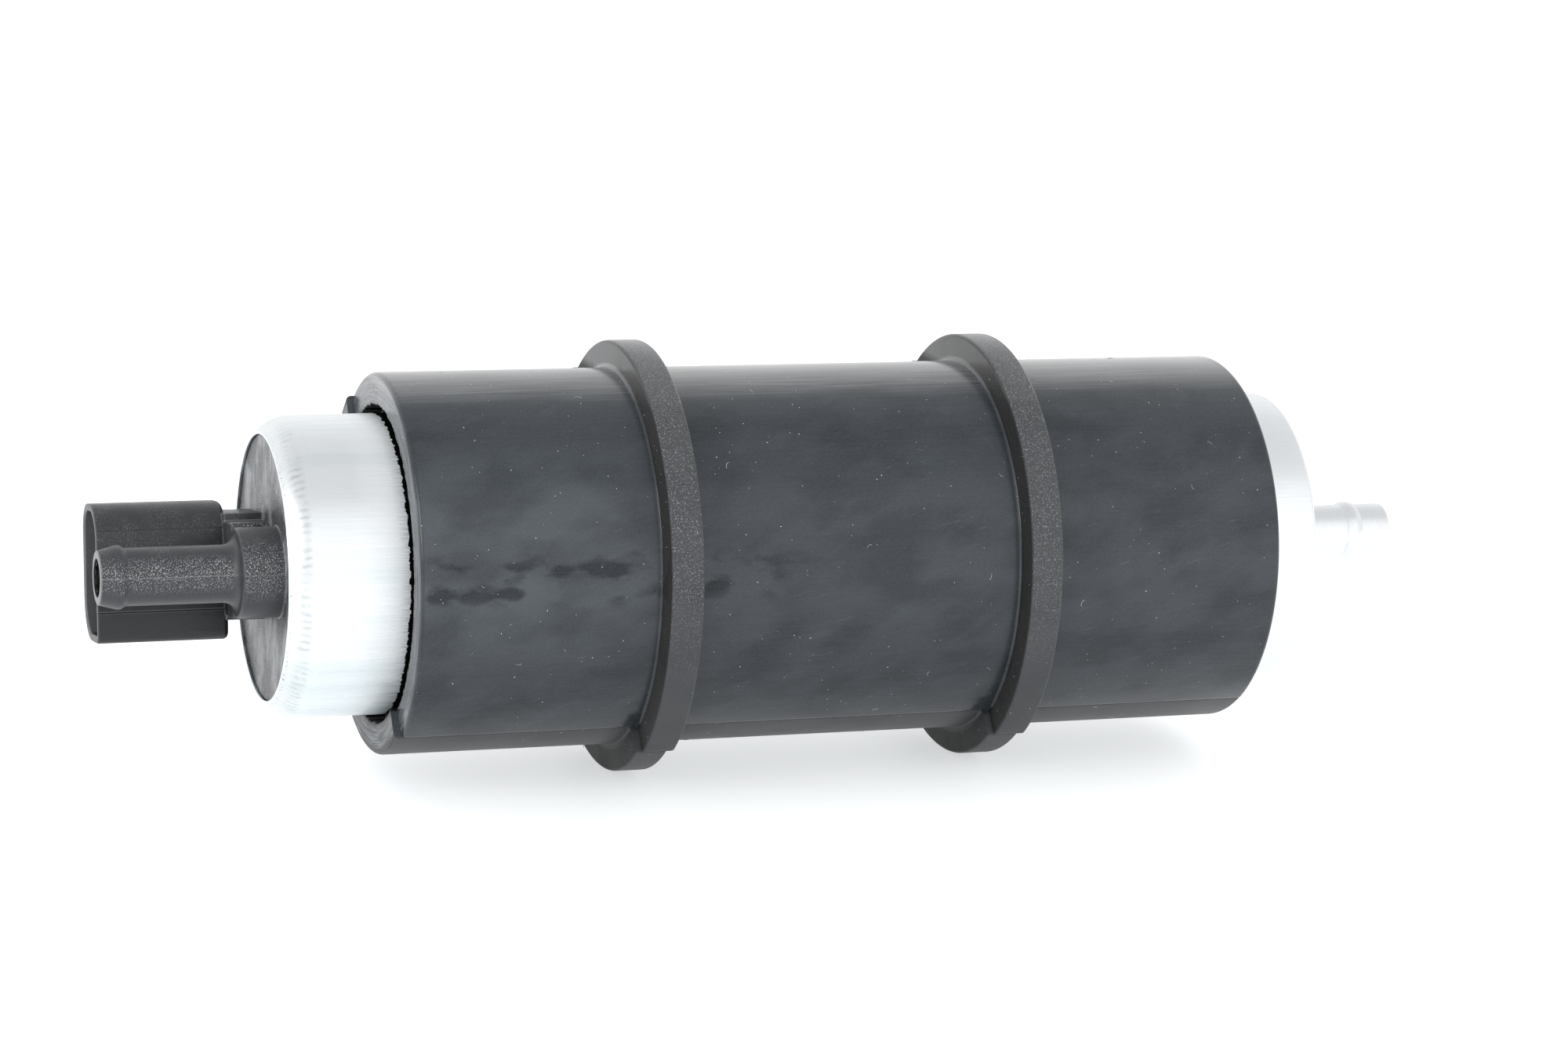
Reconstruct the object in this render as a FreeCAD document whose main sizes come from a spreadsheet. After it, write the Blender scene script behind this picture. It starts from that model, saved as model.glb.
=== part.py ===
"""In-line electric fuel pump: canister motor with a gear pump stage, in a ribbed rubber sleeve.

The pump's axis is X. Fuel enters at the nipple on the +X end and leaves through the barb on the
-X end. The origin is on the axis, midway between the sleeve's two ribs, where the clamp sits.
Lengths are in millimetres and angles in degrees.
"""
import FreeCAD, Part

import math
import os

import Sketcher

DIMENSIONS = {
    # Canister
    "can_diameter": 43.0,
    "can_wall": 1.5,
    "can_rim_reach": 80.5,
    "can_end_reach": 73.9,
    "can_end_wall": 1.6,
    "can_end_corner": 0.5,
    "rim_opening_diameter": 37.8,
    "rim_edge": 0.35,
    "rim_roll_length": 4.8,
    # Rubber sleeve
    "sleeve_diameter": 54.7,
    "sleeve_left_reach": 63.8,
    "sleeve_right_reach": 65.2,
    "sleeve_corner": 0.8,
    "sleeve_mouth_gap": 1.35,
    "sleeve_mouth_depth": 3.0,
    "rib_diameter": 62.7,
    "rib_width": 4.9,
    "clamp_seat_width": 48.8,
    "mould_shift": 1.0,
    "parting_angle": 50.0,
    # End cap disc and skirt
    "cap_turn": 10.0,
    "disc_recess": 0.5,
    "disc_thickness": 4.0,
    "cap_length": 18.0,
    "skirt_wall": 4.0,
    "seal_width": 2.4,
    "seal_height": 2.0,
    # Outlet barb
    "outlet_offset": 9.13,
    "outlet_reach": 25.2,
    "outlet_bore": 4.4,
    "barb_tip_diameter": 7.5,
    "barb_ridge_diameter": 8.9,
    "barb_taper_length": 2.5,
    "barb_land": 0.6,
    "barb_back": 0.7,
    "barb_stem_diameter": 8.1,
    "barb_base_diameter": 12.7,
    "barb_base_length": 6.0,
    "barb_base_corner": 0.5,
    "barb_root": 0.4,
    "flute_count": 10,
    "flute_depth": 0.45,
    "flute_width": 0.7,
    "flute_length": 4.0,
    # Plug shroud and its neck
    "shroud_mouth_reach": 23.6,
    "shroud_length": 18.5,
    "shroud_front": 0.5,
    "shroud_drop": 0.4,
    "shroud_depth": 12.0,
    "shroud_height": 19.4,
    "shroud_front_top_round": 5.5,
    "shroud_front_low_round": 1.4,
    "shroud_back_top_round": 4.0,
    "shroud_back_low_round": 6.0,
    "shroud_wall": 1.0,
    "shroud_floor": 2.5,
    "shroud_panel_top": 6.2,
    "shroud_panel_low": 5.4,
    "shroud_panel_depth": 0.3,
    "shroud_back_corner": 0.5,
    "neck_depth": 10.2,
    "neck_height": 15.1,
    "neck_lift": 0.2,
    "bracket_depth": 5.5,
    "bracket_height": 13.4,
    # Plug blades
    "blade_width": 2.8,
    "blade_thickness": 0.8,
    "blade_spacing": 7.0,
    "blade_tip_recess": 4.0,
    "blade_root": 1.5,
    "blade_tail_width": 1.3,
    "blade_tail": 2.0,
    "blade_bevel": 0.24,
    # Outlet check valve
    "valve_chamber_diameter": 8.8,
    "valve_chamber_reach": 4.0,
    "valve_boss_wall": 1.6,
    "valve_boss_recess": 3.0,
    "valve_seat_thickness": 3.0,
    "valve_seat_hole": 4.4,
    "poppet_diameter": 6.8,
    "poppet_thickness": 2.0,
    "poppet_nose": 2.4,
    "poppet_stem": 5.0,
    "poppet_stem_diameter": 2.4,
    "valve_spring_wire": 0.7,
    # Brush gear
    "holder_plate": 3.0,
    "brush_radial": 9.5,
    "brush_height": 6.0,
    "brush_width": 5.0,
    "brush_length": 10.0,
    "brush_box_wall": 1.0,
    "brush_box_room": 2.0,
    "brush_box_gap": 1.5,
    "brush_spring_diameter": 3.8,
    "brush_spring_wire": 0.6,
    "lead_width": 0.9,
    "lead_room": 0.8,
    "holder_flow_hole": 10.0,
    "choke_gap": 0.4,
    "choke_spacing": 13.6,
    "choke_core_width": 3.0,
    "choke_coil_width": 5.0,
    "choke_coil_inset": 1.5,
    # Shaft, bushes and thrust washers
    "shaft_diameter": 5.0,
    "shaft_chamfer": 0.4,
    "drive_flat_width": 4.0,
    "bush_wall": 1.6,
    "bush_boss_wall": 1.3,
    "bush_boss_floor": 0.5,
    "rear_bush_nose": 2.5,
    "washer_thickness": 0.8,
    "washer_rim": 1.9,
    # Commutator
    "commutator_gap": 9.5,
    "commutator_diameter": 26.0,
    "commutator_eye": 10.4,
    "segment_count": 8,
    "segment_thickness": 3.0,
    "segment_slot": 0.7,
    "hub_thickness": 3.5,
    "hub_nose": 3.5,
    # Armature
    "core_diameter": 27.4,
    "slot_count": 8,
    "slot_mouth": 2.2,
    "slot_mouth_depth": 1.5,
    "slot_floor_radius": 6.5,
    "tooth_width": 2.6,
    "end_turn_length": 4.8,
    "end_turn_inner": 7.4,
    "winding_inset": 0.35,
    "slot_shoulder_share": 0.94,
    # Field magnets and flux ring
    "flux_ring_wall": 1.6,
    "magnet_wall": 4.0,
    "magnet_overhang": 3.0,
    "magnet_half_angle": 62.0,
    "clip_sheet": 0.6,
    "clip_leg": 3.2,
    "clip_inset": 11.0,
    "clip_gap_angle": 0.4,
    # Pump stage
    "outlet_plate_thickness": 6.0,
    "gear_housing_floor": 6.0,
    "suction_recess_diameter": 36.0,
    "suction_recess_depth": 4.0,
    "gear_width": 10.0,
    "lobe_circle_radius": 10.0,
    "lobe_radius": 2.6,
    "gear_offset": 1.1,
    "outer_gear_wall": 0.6,
    "inner_teeth": 6,
    "port_inner_radius": 6.2,
    "port_outer_radius": 8.9,
    "port_half_angle": 58.0,
    "dowel_diameter": 2.5,
    "dowel_circle_radius": 17.0,
    "dowel_angle": 30.0,
    "dowel_inset": 1.5,
    "dowel_reach": 8.0,
    "relief_circle_radius": 16.2,
    "relief_hole": 2.4,
    "relief_bore": 4.4,
    "relief_valve_length": 4.0,
    "relief_nose": 0.6,
    "relief_spring_wire": 0.6,
    # Suction side
    "nipple_diameter": 8.0,
    "nipple_bore": 5.6,
    "nipple_reach": 20.9,
    "nipple_bead_diameter": 8.9,
    "nipple_bead_width": 2.6,
    "nipple_bead_top": 1.0,
    "nipple_bead_reach": 14.9,
    "nipple_chamfer": 0.5,
    "nipple_flange_diameter": 14.0,
    "nipple_flange_thickness": 1.2,
    "strainer_thickness": 0.8,
    "strainer_window_count": 10,
    "strainer_window_start": 5.0,
    "strainer_window_end": 14.0,
    "strainer_window_width": 2.2,
    # Clearances
    "seat_clearance": 0.02,
    "running_clearance": 0.04,
    "end_play": 0.1,
    "brush_gap": 0.05,
    "gear_clearance": 0.05,
    "gear_side_play": 0.03,
    "valve_seat_gap": 0.05,
    "guide_clearance": 0.15,
}

QUARTER_TURN = 90
HALF_TURN = 180
FULL_TURN = 360
CLOSE = 1e-4
SIDES = (("upper", 1), ("lower", -1))

doc = FreeCAD.newDocument("FuelPump")
sheet = doc.addObject("Spreadsheet::Sheet", "Dimensions")


class Size:
    """A dimension known both as a number and as the sheet expression that gives it."""

    def __init__(self, value, text):
        self.value = value
        self.text = text

    def __float__(self):
        return self.value

    def __add__(self, other):
        other = as_size(other)
        return Size(self.value + other.value, f"({self.text} + {other.text})")

    def __sub__(self, other):
        other = as_size(other)
        return Size(self.value - other.value, f"({self.text} - {other.text})")

    def __mul__(self, other):
        other = as_size(other)
        return Size(self.value * other.value, f"({self.text} * {other.text})")

    def __truediv__(self, other):
        other = as_size(other)
        return Size(self.value / other.value, f"({self.text} / {other.text})")

    def __neg__(self):
        return Size(-self.value, f"(0 - {self.text})")

    def __rsub__(self, other):
        return as_size(other) - self

    def __rtruediv__(self, other):
        return as_size(other) / self


def as_size(value):
    """Take a plain number as a size too."""
    if isinstance(value, Size):
        return value
    return Size(float(value), str(float(value)))


def cosine(angle):
    """Cosine of an angle in degrees."""
    angle = as_size(angle)
    return Size(math.cos(math.radians(angle.value)), f"cos({angle.text} * 1deg)")


def sine(angle):
    """Sine of an angle in degrees."""
    angle = as_size(angle)
    return Size(math.sin(math.radians(angle.value)), f"sin({angle.text} * 1deg)")


def fill_sheet():
    """Write every driving dimension to the sheet, with its name as the cell's alias."""
    for row, (name, value) in enumerate(DIMENSIONS.items(), start=1):
        sheet.set(f"A{row}", name.replace("_", " "))
        sheet.set(f"B{row}", str(value))
        sheet.setAlias(f"B{row}", name)
    doc.recompute()


class Sizes:
    """The sheet's values as attributes, each a Size."""

    def __init__(self):
        for name in DIMENSIONS:
            setattr(self, name, Size(float(sheet.get(name)), f"Dimensions.{name}"))


fill_sheet()
dim = Sizes()


def bind(item, prop, size):
    """Let a sheet expression drive one property of an object."""
    item.setExpression(prop, as_size(size).text)


# Outlines for sketches

def arc_between(start, end, radius, turn):
    """Minor arc from start to end: turn is 1 for anticlockwise and -1 for clockwise."""
    chord = end - start
    normal = FreeCAD.Vector(-chord.y, chord.x, 0).normalize()
    rise = math.sqrt(max(radius ** 2 - (chord.Length / 2) ** 2, 0.0))
    centre = (start + end) * 0.5 + normal * (turn * rise)
    first, last = (start, end) if turn > 0 else (end, start)
    angles = [math.atan2(point.y - centre.y, point.x - centre.x) for point in (first, last)]
    return Part.ArcOfCircle(Part.Circle(centre, FreeCAD.Vector(0, 0, 1), radius), *angles)


def add_outline(sketch, corners):
    """Draw a closed outline whose corners are bound to the sheet.

    A corner is (x, y), or (x, y, radius, turn) where the edge that arrives is an arc.
    """
    places = [FreeCAD.Vector(float(as_size(c[0])), float(as_size(c[1])), 0) for c in corners]
    count = len(corners)
    heads = []
    tails = []
    for index in range(count):
        target = corners[(index + 1) % count]
        start = places[index]
        end = places[(index + 1) % count]
        if len(target) == 4:
            radius = as_size(target[2])
            edge = sketch.addGeometry(arc_between(start, end, radius.value, target[3]), False)
            ends = (1, 2) if target[3] > 0 else (2, 1)
            rule = sketch.addConstraint(Sketcher.Constraint("Radius", edge, radius.value))
            sketch.setExpression(f"Constraints[{rule}]", radius.text)
        else:
            edge = sketch.addGeometry(Part.LineSegment(start, end), False)
            ends = (1, 2)
        heads.append((edge, ends[0]))
        tails.append((edge, ends[1]))
    for index in range(count):
        join = (*tails[index], *heads[(index + 1) % count])
        sketch.addConstraint(Sketcher.Constraint("Coincident", *join))
    for corner, place, head in zip(corners, places, heads):
        hold_point(sketch, head, corner[0], "DistanceX", place.x, -2)
        hold_point(sketch, head, corner[1], "DistanceY", place.y, -1)


def hold_point(sketch, head, size, kind, value, axis):
    """Fix one coordinate of a point: on the axis where it is a plain zero, else by the sheet."""
    if not isinstance(size, Size) and size == 0:
        sketch.addConstraint(Sketcher.Constraint("PointOnObject", *head, axis))
        return
    rule = sketch.addConstraint(Sketcher.Constraint(kind, -1, 1, *head, value))
    sketch.setExpression(f"Constraints[{rule}]", as_size(size).text)


def add_circle(sketch, x, y, radius):
    """Draw a circle bound to the sheet."""
    radius = as_size(radius)
    place = FreeCAD.Vector(float(as_size(x)), float(as_size(y)), 0)
    edge = sketch.addGeometry(Part.Circle(place, FreeCAD.Vector(0, 0, 1), radius.value), False)
    rule = sketch.addConstraint(Sketcher.Constraint("Radius", edge, radius.value))
    sketch.setExpression(f"Constraints[{rule}]", radius.text)
    hold_point(sketch, (edge, 3), x, "DistanceX", place.x, -2)
    hold_point(sketch, (edge, 3), y, "DistanceY", place.y, -1)


def circle(radius, x=0, y=0):
    """A circle as an outline for Piece.pad and Piece.cut."""
    return ("circle", x, y, radius)


def box(low_y, high_y, low_z, high_z):
    """A rectangle as an outline."""
    return [(low_y, low_z), (high_y, low_z), (high_y, high_z), (low_y, high_z)]


def sector(inner, outer, middle, half_angle):
    """A piece of a ring about the axis, symmetric about the direction middle."""
    low = middle - half_angle
    high = middle + half_angle
    return [
        (inner * cosine(low), inner * sine(low), inner, -1),
        (outer * cosine(low), outer * sine(low)),
        (outer * cosine(middle), outer * sine(middle), outer, 1),
        (outer * cosine(high), outer * sine(high), outer, 1),
        (inner * cosine(high), inner * sine(high)),
        (inner * cosine(middle), inner * sine(middle), inner, -1),
    ]


def shroud_outline(inset):
    """Section of the plug shroud, its four corners rounded, moved inwards by inset."""
    front = dim.shroud_front + inset
    rear = dim.shroud_front + dim.shroud_depth - inset
    half = dim.shroud_height / 2 - inset
    front_top = dim.shroud_front_top_round - inset
    front_low = dim.shroud_front_low_round - inset
    back_top = dim.shroud_back_top_round - inset
    back_low = dim.shroud_back_low_round - inset
    return [
        (front + front_low, -half, front_low, 1),
        (rear - back_low, -half),
        (rear, -half + back_low, back_low, 1),
        (rear, half - back_top),
        (rear - back_top, half, back_top, 1),
        (front + front_top, half),
        (front, half - front_top, front_top, 1),
        (front, -half + front_low),
    ]


class Piece:
    """One body of the pump, built from sketches along or across the pump's axis."""

    def __init__(self, label, with_cap=False):
        self.body = doc.addObject("PartDesign::Body", label)
        self.body.Label = label
        self.label = label
        self.steps = 0
        if with_cap:
            turn_with_cap(self.body)

    def plane(self, role):
        """The body's own origin plane with this role."""
        return next(item for item in self.body.Origin.OriginFeatures if item.Role == role)

    def sketch(self, role, x=0, y=0, z=0):
        """A new sketch on an origin plane, moved by sizes in the plane's own directions."""
        self.steps += 1
        made = self.body.newObject("Sketcher::SketchObject", f"{self.label}_sketch_{self.steps}")
        made.AttachmentSupport = [(self.plane(role), "")]
        made.MapMode = "FlatFace"
        for axis, shift in (("x", x), ("y", y), ("z", z)):
            if isinstance(shift, Size):
                bind(made, f"AttachmentOffset.Base.{axis}", shift)
        return made

    def draw(self, sketch, outlines):
        """Put circles and cornered outlines in a sketch."""
        for outline in outlines:
            if outline[0] == "circle":
                add_circle(sketch, *outline[1:])
            else:
                add_outline(sketch, outline)

    def feature(self, kind, sketch):
        """A new solid feature on a sketch."""
        made = self.body.newObject(f"PartDesign::{kind}", f"{self.label}_{kind}_{self.steps}")
        made.Profile = sketch
        sketch.Visibility = False
        return made

    def revolve(self, corners, offset=0, angle=FULL_TURN, backwards=False):
        """Turn an outline of (x, radius) corners about the axis, or a line beside it."""
        sketch = self.sketch("XZ_Plane", z=offset)
        self.draw(sketch, [corners])
        turned = self.feature("Revolution", sketch)
        turned.ReferenceAxis = (sketch, ["H_Axis"])
        turned.Angle = angle
        turned.Reversed = backwards
        doc.recompute()
        return turned

    def pad(self, start, end, *outlines, centre=(0, 0)):
        """Add outlines drawn across the axis, from x = start to x = end."""
        sketch = self.sketch("YZ_Plane", x=centre[0], y=centre[1], z=start)
        self.draw(sketch, outlines)
        padded = self.feature("Pad", sketch)
        bind(padded, "Length", end - start)
        doc.recompute()
        return padded

    def cut(self, start, end, *outlines, centre=(0, 0)):
        """Remove outlines drawn across the axis, from x = start to x = end."""
        before = self.body.Shape.Volume
        sketch = self.sketch("YZ_Plane", x=centre[0], y=centre[1], z=start)
        self.draw(sketch, outlines)
        pocket = self.feature("Pocket", sketch)
        pocket.Reversed = True
        bind(pocket, "Length", end - start)
        doc.recompute()
        if not self.body.Shape.Volume < before:
            raise RuntimeError(f"{self.label}: a cut removed nothing")
        return pocket

    def repeat(self, feature, count):
        """Repeat a feature in a full circle about its own sketch's origin."""
        pattern = self.body.newObject("PartDesign::PolarPattern", f"{self.label}_pattern")
        pattern.Originals = [feature]
        pattern.Axis = (feature.Profile[0], ["N_Axis"])
        pattern.Angle = FULL_TURN
        bind(pattern, "Occurrences", count)
        self.body.Tip = pattern
        doc.recompute()
        return pattern

    def bevel(self, size, test):
        """Chamfer the edges of the body for which test is true."""
        base = self.body.Tip
        names = [
            f"Edge{index}"
            for index, edge in enumerate(base.Shape.Edges, start=1)
            if test(edge)
        ]
        if not names:
            raise RuntimeError(f"{self.label}: no edge found to bevel")
        made = self.body.newObject("PartDesign::Chamfer", f"{self.label}_bevel")
        made.Base = (base, names)
        bind(made, "Size", size)
        doc.recompute()
        return made


def on_circle(edge, x, radius):
    """Whether an edge is an arc about the axis, at this x and of this radius."""
    if not isinstance(edge.Curve, Part.Circle):
        return False
    at_x = abs(edge.Curve.Center.x - float(x)) < CLOSE
    return at_x and abs(edge.Curve.Radius - float(radius)) < CLOSE


def turn_with_cap(item):
    """Turn a piece about the pump's axis by the angle at which the end cap is set."""
    item.Placement = FreeCAD.Placement(
        FreeCAD.Vector(), FreeCAD.Rotation(FreeCAD.Vector(1, 0, 0), -float(dim.cap_turn))
    )
    bind(item, "Placement.Rotation.Angle", -dim.cap_turn)


def tube(label, start, end, outer, inner, with_cap=False, offset=0):
    """A plain ring or bush about the axis, or about a line beside it."""
    piece = Piece(label, with_cap)
    piece.revolve([(start, inner), (start, outer), (end, outer), (end, inner)], offset)
    return piece


def rod(start, end, radius, y, z, name):
    """A round bar along the axis's direction, for use in a group."""
    made = doc.addObject("Part::Cylinder", name)
    made.Placement = FreeCAD.Placement(
        FreeCAD.Vector(), FreeCAD.Rotation(FreeCAD.Vector(0, 1, 0), QUARTER_TURN)
    )
    bind(made, "Radius", radius)
    bind(made, "Height", end - start)
    bind(made, "Placement.Base.x", start)
    bind(made, "Placement.Base.y", y)
    bind(made, "Placement.Base.z", z)
    return made


def block(start, end, low_y, high_y, low_z, high_z, name):
    """A rectangular bar along the axis's direction."""
    made = doc.addObject("Part::Box", name)
    bind(made, "Length", end - start)
    bind(made, "Width", high_y - low_y)
    bind(made, "Height", high_z - low_z)
    bind(made, "Placement.Base.x", start)
    bind(made, "Placement.Base.y", low_y)
    bind(made, "Placement.Base.z", low_z)
    return made


def group(label, members):
    """Identical loose solids in one node."""
    made = doc.addObject("Part::Compound", label)
    made.Label = label
    made.Links = members
    return made


# Stations along the axis, from the outlet to the inlet

can_radius = dim.can_diameter / 2
can_bore = can_radius - dim.can_wall
stack_radius = can_bore - dim.seat_clearance * 2
rim_x = -dim.can_rim_reach
face_x = rim_x + dim.disc_recess
cup_floor_x = face_x + dim.disc_thickness
skirt_end_x = face_x + dim.cap_length
holder_x = skirt_end_x + dim.holder_plate
commutator_x = holder_x + dim.commutator_gap
hub_x = commutator_x + dim.segment_thickness
hub_back_x = hub_x + dim.hub_thickness
core_x = hub_back_x + dim.end_turn_length + dim.end_play * 2
can_floor_x = dim.can_end_reach - dim.can_end_wall
recess_x = can_floor_x - dim.suction_recess_depth
gear_floor_x = recess_x - dim.gear_housing_floor
ring_x = gear_floor_x - dim.gear_width
stage_x = ring_x - dim.outlet_plate_thickness
rear_bush_x = stage_x - dim.rear_bush_nose
rear_washer_x = rear_bush_x - dim.end_play - dim.washer_thickness
winding_end_x = rear_washer_x - dim.end_play
core_end_x = winding_end_x - dim.end_turn_length
front_washer_x = commutator_x - dim.hub_nose - dim.washer_thickness
front_bush_end_x = front_washer_x - dim.end_play
front_bush_x = skirt_end_x + dim.bush_boss_floor
tip_x = face_x - dim.outlet_reach
mouth_x = face_x - dim.shroud_mouth_reach
shroud_end_x = mouth_x + dim.shroud_length
socket_end_x = shroud_end_x - dim.shroud_floor
brush_box_x = cup_floor_x + dim.brush_box_room
blade_step_x = socket_end_x + dim.blade_root
valve_chamber_x = face_x - dim.valve_chamber_reach
valve_boss_x = skirt_end_x - dim.valve_boss_recess
shroud_middle = dim.shroud_front + dim.shroud_depth / 2
shaft_radius = dim.shaft_diameter / 2
outer_gear_radius = dim.lobe_circle_radius + dim.lobe_radius + dim.outer_gear_wall


def make_can():
    """Deep-drawn canister: one end closed, the other rolled in over the end cap."""
    rim = dim.rim_opening_diameter / 2
    lip = rim + dim.rim_edge
    length = dim.rim_roll_length
    roll_x = rim_x + length
    outer_drop = can_radius - lip
    outer_roll = (length * length + outer_drop * outer_drop) / (outer_drop * 2)
    corner = dim.can_end_corner
    hole = dim.nipple_diameter / 2 + dim.seat_clearance
    can = Piece("housing_can")
    can.revolve([
        (rim_x, rim),
        (rim_x, lip),
        (roll_x, can_radius, outer_roll, -1),
        (dim.can_end_reach - corner, can_radius),
        (dim.can_end_reach, can_radius - corner),
        (dim.can_end_reach, hole),
        (can_floor_x, hole),
        (can_floor_x, can_bore),
        (roll_x, can_bore),
    ])


def sleeve_outline(shift):
    """Half section of the rubber sleeve, moved along the axis by shift."""
    outer = dim.sleeve_diameter / 2
    bore = can_radius + dim.seat_clearance
    mouth = can_radius + dim.sleeve_mouth_gap
    left = shift - dim.sleeve_left_reach
    right = shift + dim.sleeve_right_reach
    corner = dim.sleeve_corner
    rib = dim.rib_diameter / 2
    section = [
        (left + dim.sleeve_mouth_depth, bore),
        (left + dim.sleeve_mouth_depth, mouth),
        (left, mouth),
        (left, outer - corner),
        (left + corner, outer),
    ]
    half_seat = dim.clamp_seat_width / 2
    for low in (shift - half_seat - dim.rib_width, shift + half_seat):
        high = low + dim.rib_width
        section += [(low, outer), (low, rib), (high, rib), (high, outer)]
    section += [(right - corner, outer), (right, outer - corner), (right, bore)]
    return section


def make_sleeve():
    """Rubber sleeve with two ribs; its mould halves met a little out of line."""
    sleeve = Piece("rubber_sleeve")
    sleeve.body.Placement = FreeCAD.Placement(
        FreeCAD.Vector(),
        FreeCAD.Rotation(FreeCAD.Vector(1, 0, 0), float(dim.parting_angle - QUARTER_TURN)),
    )
    bind(sleeve.body, "Placement.Rotation.Angle", dim.parting_angle - QUARTER_TURN)
    sleeve.revolve(sleeve_outline(as_size(0)), angle=HALF_TURN)
    sleeve.revolve(sleeve_outline(-dim.mould_shift), angle=HALF_TURN, backwards=True)


def make_end_cap():
    """Black moulding that closes the can: disc, outlet barb, plug shroud and neck."""
    cap = Piece("end_cap", with_cap=True)
    rim = dim.rim_opening_diameter / 2 - dim.seat_clearance
    skirt_inner = stack_radius - dim.skirt_wall
    rabbet_x = skirt_end_x - dim.seal_width
    rabbet = stack_radius - dim.seal_height
    cap.revolve([
        (face_x, 0),
        (face_x, rim),
        (rim_x + dim.rim_roll_length, stack_radius),
        (rabbet_x, stack_radius),
        (rabbet_x, rabbet),
        (skirt_end_x, rabbet),
        (skirt_end_x, skirt_inner),
        (cup_floor_x, skirt_inner),
        (cup_floor_x, 0),
    ])
    shroud_front = dim.shroud_front
    root_x = face_x + dim.disc_thickness / 2
    outlet = -dim.outlet_offset
    drop = (0, -dim.shroud_drop)
    cap.pad(mouth_x, shroud_end_x, shroud_outline(0), centre=drop)
    cap.bevel(dim.shroud_back_corner, is_shroud_back_edge)
    half_neck = dim.neck_height / 2
    half_bracket = dim.bracket_height / 2
    neck_x = shroud_end_x - dim.shroud_back_corner
    cap.pad(neck_x, root_x, box(
        shroud_front, shroud_front + dim.neck_depth, -half_neck, half_neck
    ), centre=(0, dim.neck_lift))
    cap.pad(neck_x, root_x, box(
        shroud_front - dim.bracket_depth, shroud_front, -half_bracket, half_bracket
    ))
    base = dim.barb_base_diameter / 2
    stem = dim.barb_stem_diameter / 2
    ridge = dim.barb_ridge_diameter / 2
    corner = dim.barb_base_corner
    flare = base - corner - stem
    shoulder_x = face_x - dim.barb_base_length
    flare_x = shoulder_x - flare
    waist = flare * (1 - cosine(45))
    land_x = tip_x + dim.barb_taper_length
    ridge_x = land_x + dim.barb_land
    cap.revolve([
        (root_x, 0),
        (root_x, base + dim.barb_root),
        (face_x, base + dim.barb_root),
        (face_x - dim.barb_root, base),
        (shoulder_x + corner, base),
        (shoulder_x, base - corner),
        (shoulder_x - waist, stem + waist),
        (flare_x, stem),
        (ridge_x + dim.barb_back, stem),
        (ridge_x, ridge),
        (land_x, ridge),
        (tip_x, dim.barb_tip_diameter / 2),
        (tip_x, 0),
    ], offset=dim.outlet_offset)
    chamber = dim.valve_chamber_diameter / 2
    cap.pad(root_x, valve_boss_x, circle(chamber + dim.valve_boss_wall), centre=(outlet, 0))
    wall = dim.shroud_wall
    cap.cut(mouth_x, socket_end_x, shroud_outline(wall), centre=drop)
    cap.cut(mouth_x, shroud_end_x, box(
        shroud_front - wall, shroud_front + dim.shroud_panel_depth,
        -dim.shroud_panel_low, dim.shroud_panel_top,
    ), centre=drop)
    cap.cut(tip_x, root_x, circle(dim.outlet_bore / 2), centre=(outlet, 0))
    cap.cut(valve_chamber_x, valve_boss_x, circle(chamber), centre=(outlet, 0))
    make_blade_slots(cap)
    half_bore = dim.outlet_bore / 2
    half_flute = dim.flute_width / 2
    flute = cap.cut(
        tip_x, tip_x + dim.flute_length,
        box(half_bore / 2, half_bore + dim.flute_depth, -half_flute, half_flute),
        centre=(outlet, 0),
    )
    cap.repeat(flute, dim.flute_count)


def is_shroud_back_edge(edge):
    """Whether an edge lies all round the shroud's back face, above the disc."""
    reach = edge.BoundBox
    return all(abs(x - float(shroud_end_x)) < CLOSE for x in (reach.XMin, reach.XMax))


def blade_sections(width):
    """Name and section of each plug blade, in the end cap's own directions."""
    half_thickness = dim.blade_thickness / 2
    for name, side in (("terminal_plus", 1), ("terminal_minus", -1)):
        height = dim.blade_spacing / 2 * side - dim.shroud_drop
        yield name, (
            shroud_middle - width / 2,
            shroud_middle + width / 2,
            height - half_thickness,
            height + half_thickness,
        )


def make_blade_slots(cap):
    """Slots in which the plug blades and their narrower tails are moulded."""
    fit = dim.seat_clearance
    for width, start, end in (
        (dim.blade_width, socket_end_x, blade_step_x),
        (dim.blade_tail_width, blade_step_x, cup_floor_x),
    ):
        for low_y, high_y, low_z, high_z in dict(blade_sections(width)).values():
            cap.cut(start, end, box(low_y - fit, high_y + fit, low_z - fit, high_z + fit))


def make_terminals():
    """Two plug blades with bevelled tips and narrower tails through the neck."""
    start = mouth_x + dim.blade_tip_recess
    tails = dict(blade_sections(dim.blade_tail_width))
    for name, section in blade_sections(dim.blade_width):
        blade = Piece(name, with_cap=True)
        blade.pad(start, blade_step_x, box(*section))
        blade.bevel(dim.blade_bevel, lambda edge: abs(edge.BoundBox.XMax - float(start)) < CLOSE)
        blade.pad(blade_step_x, cup_floor_x + dim.blade_tail, box(*tails[name]))


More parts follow.
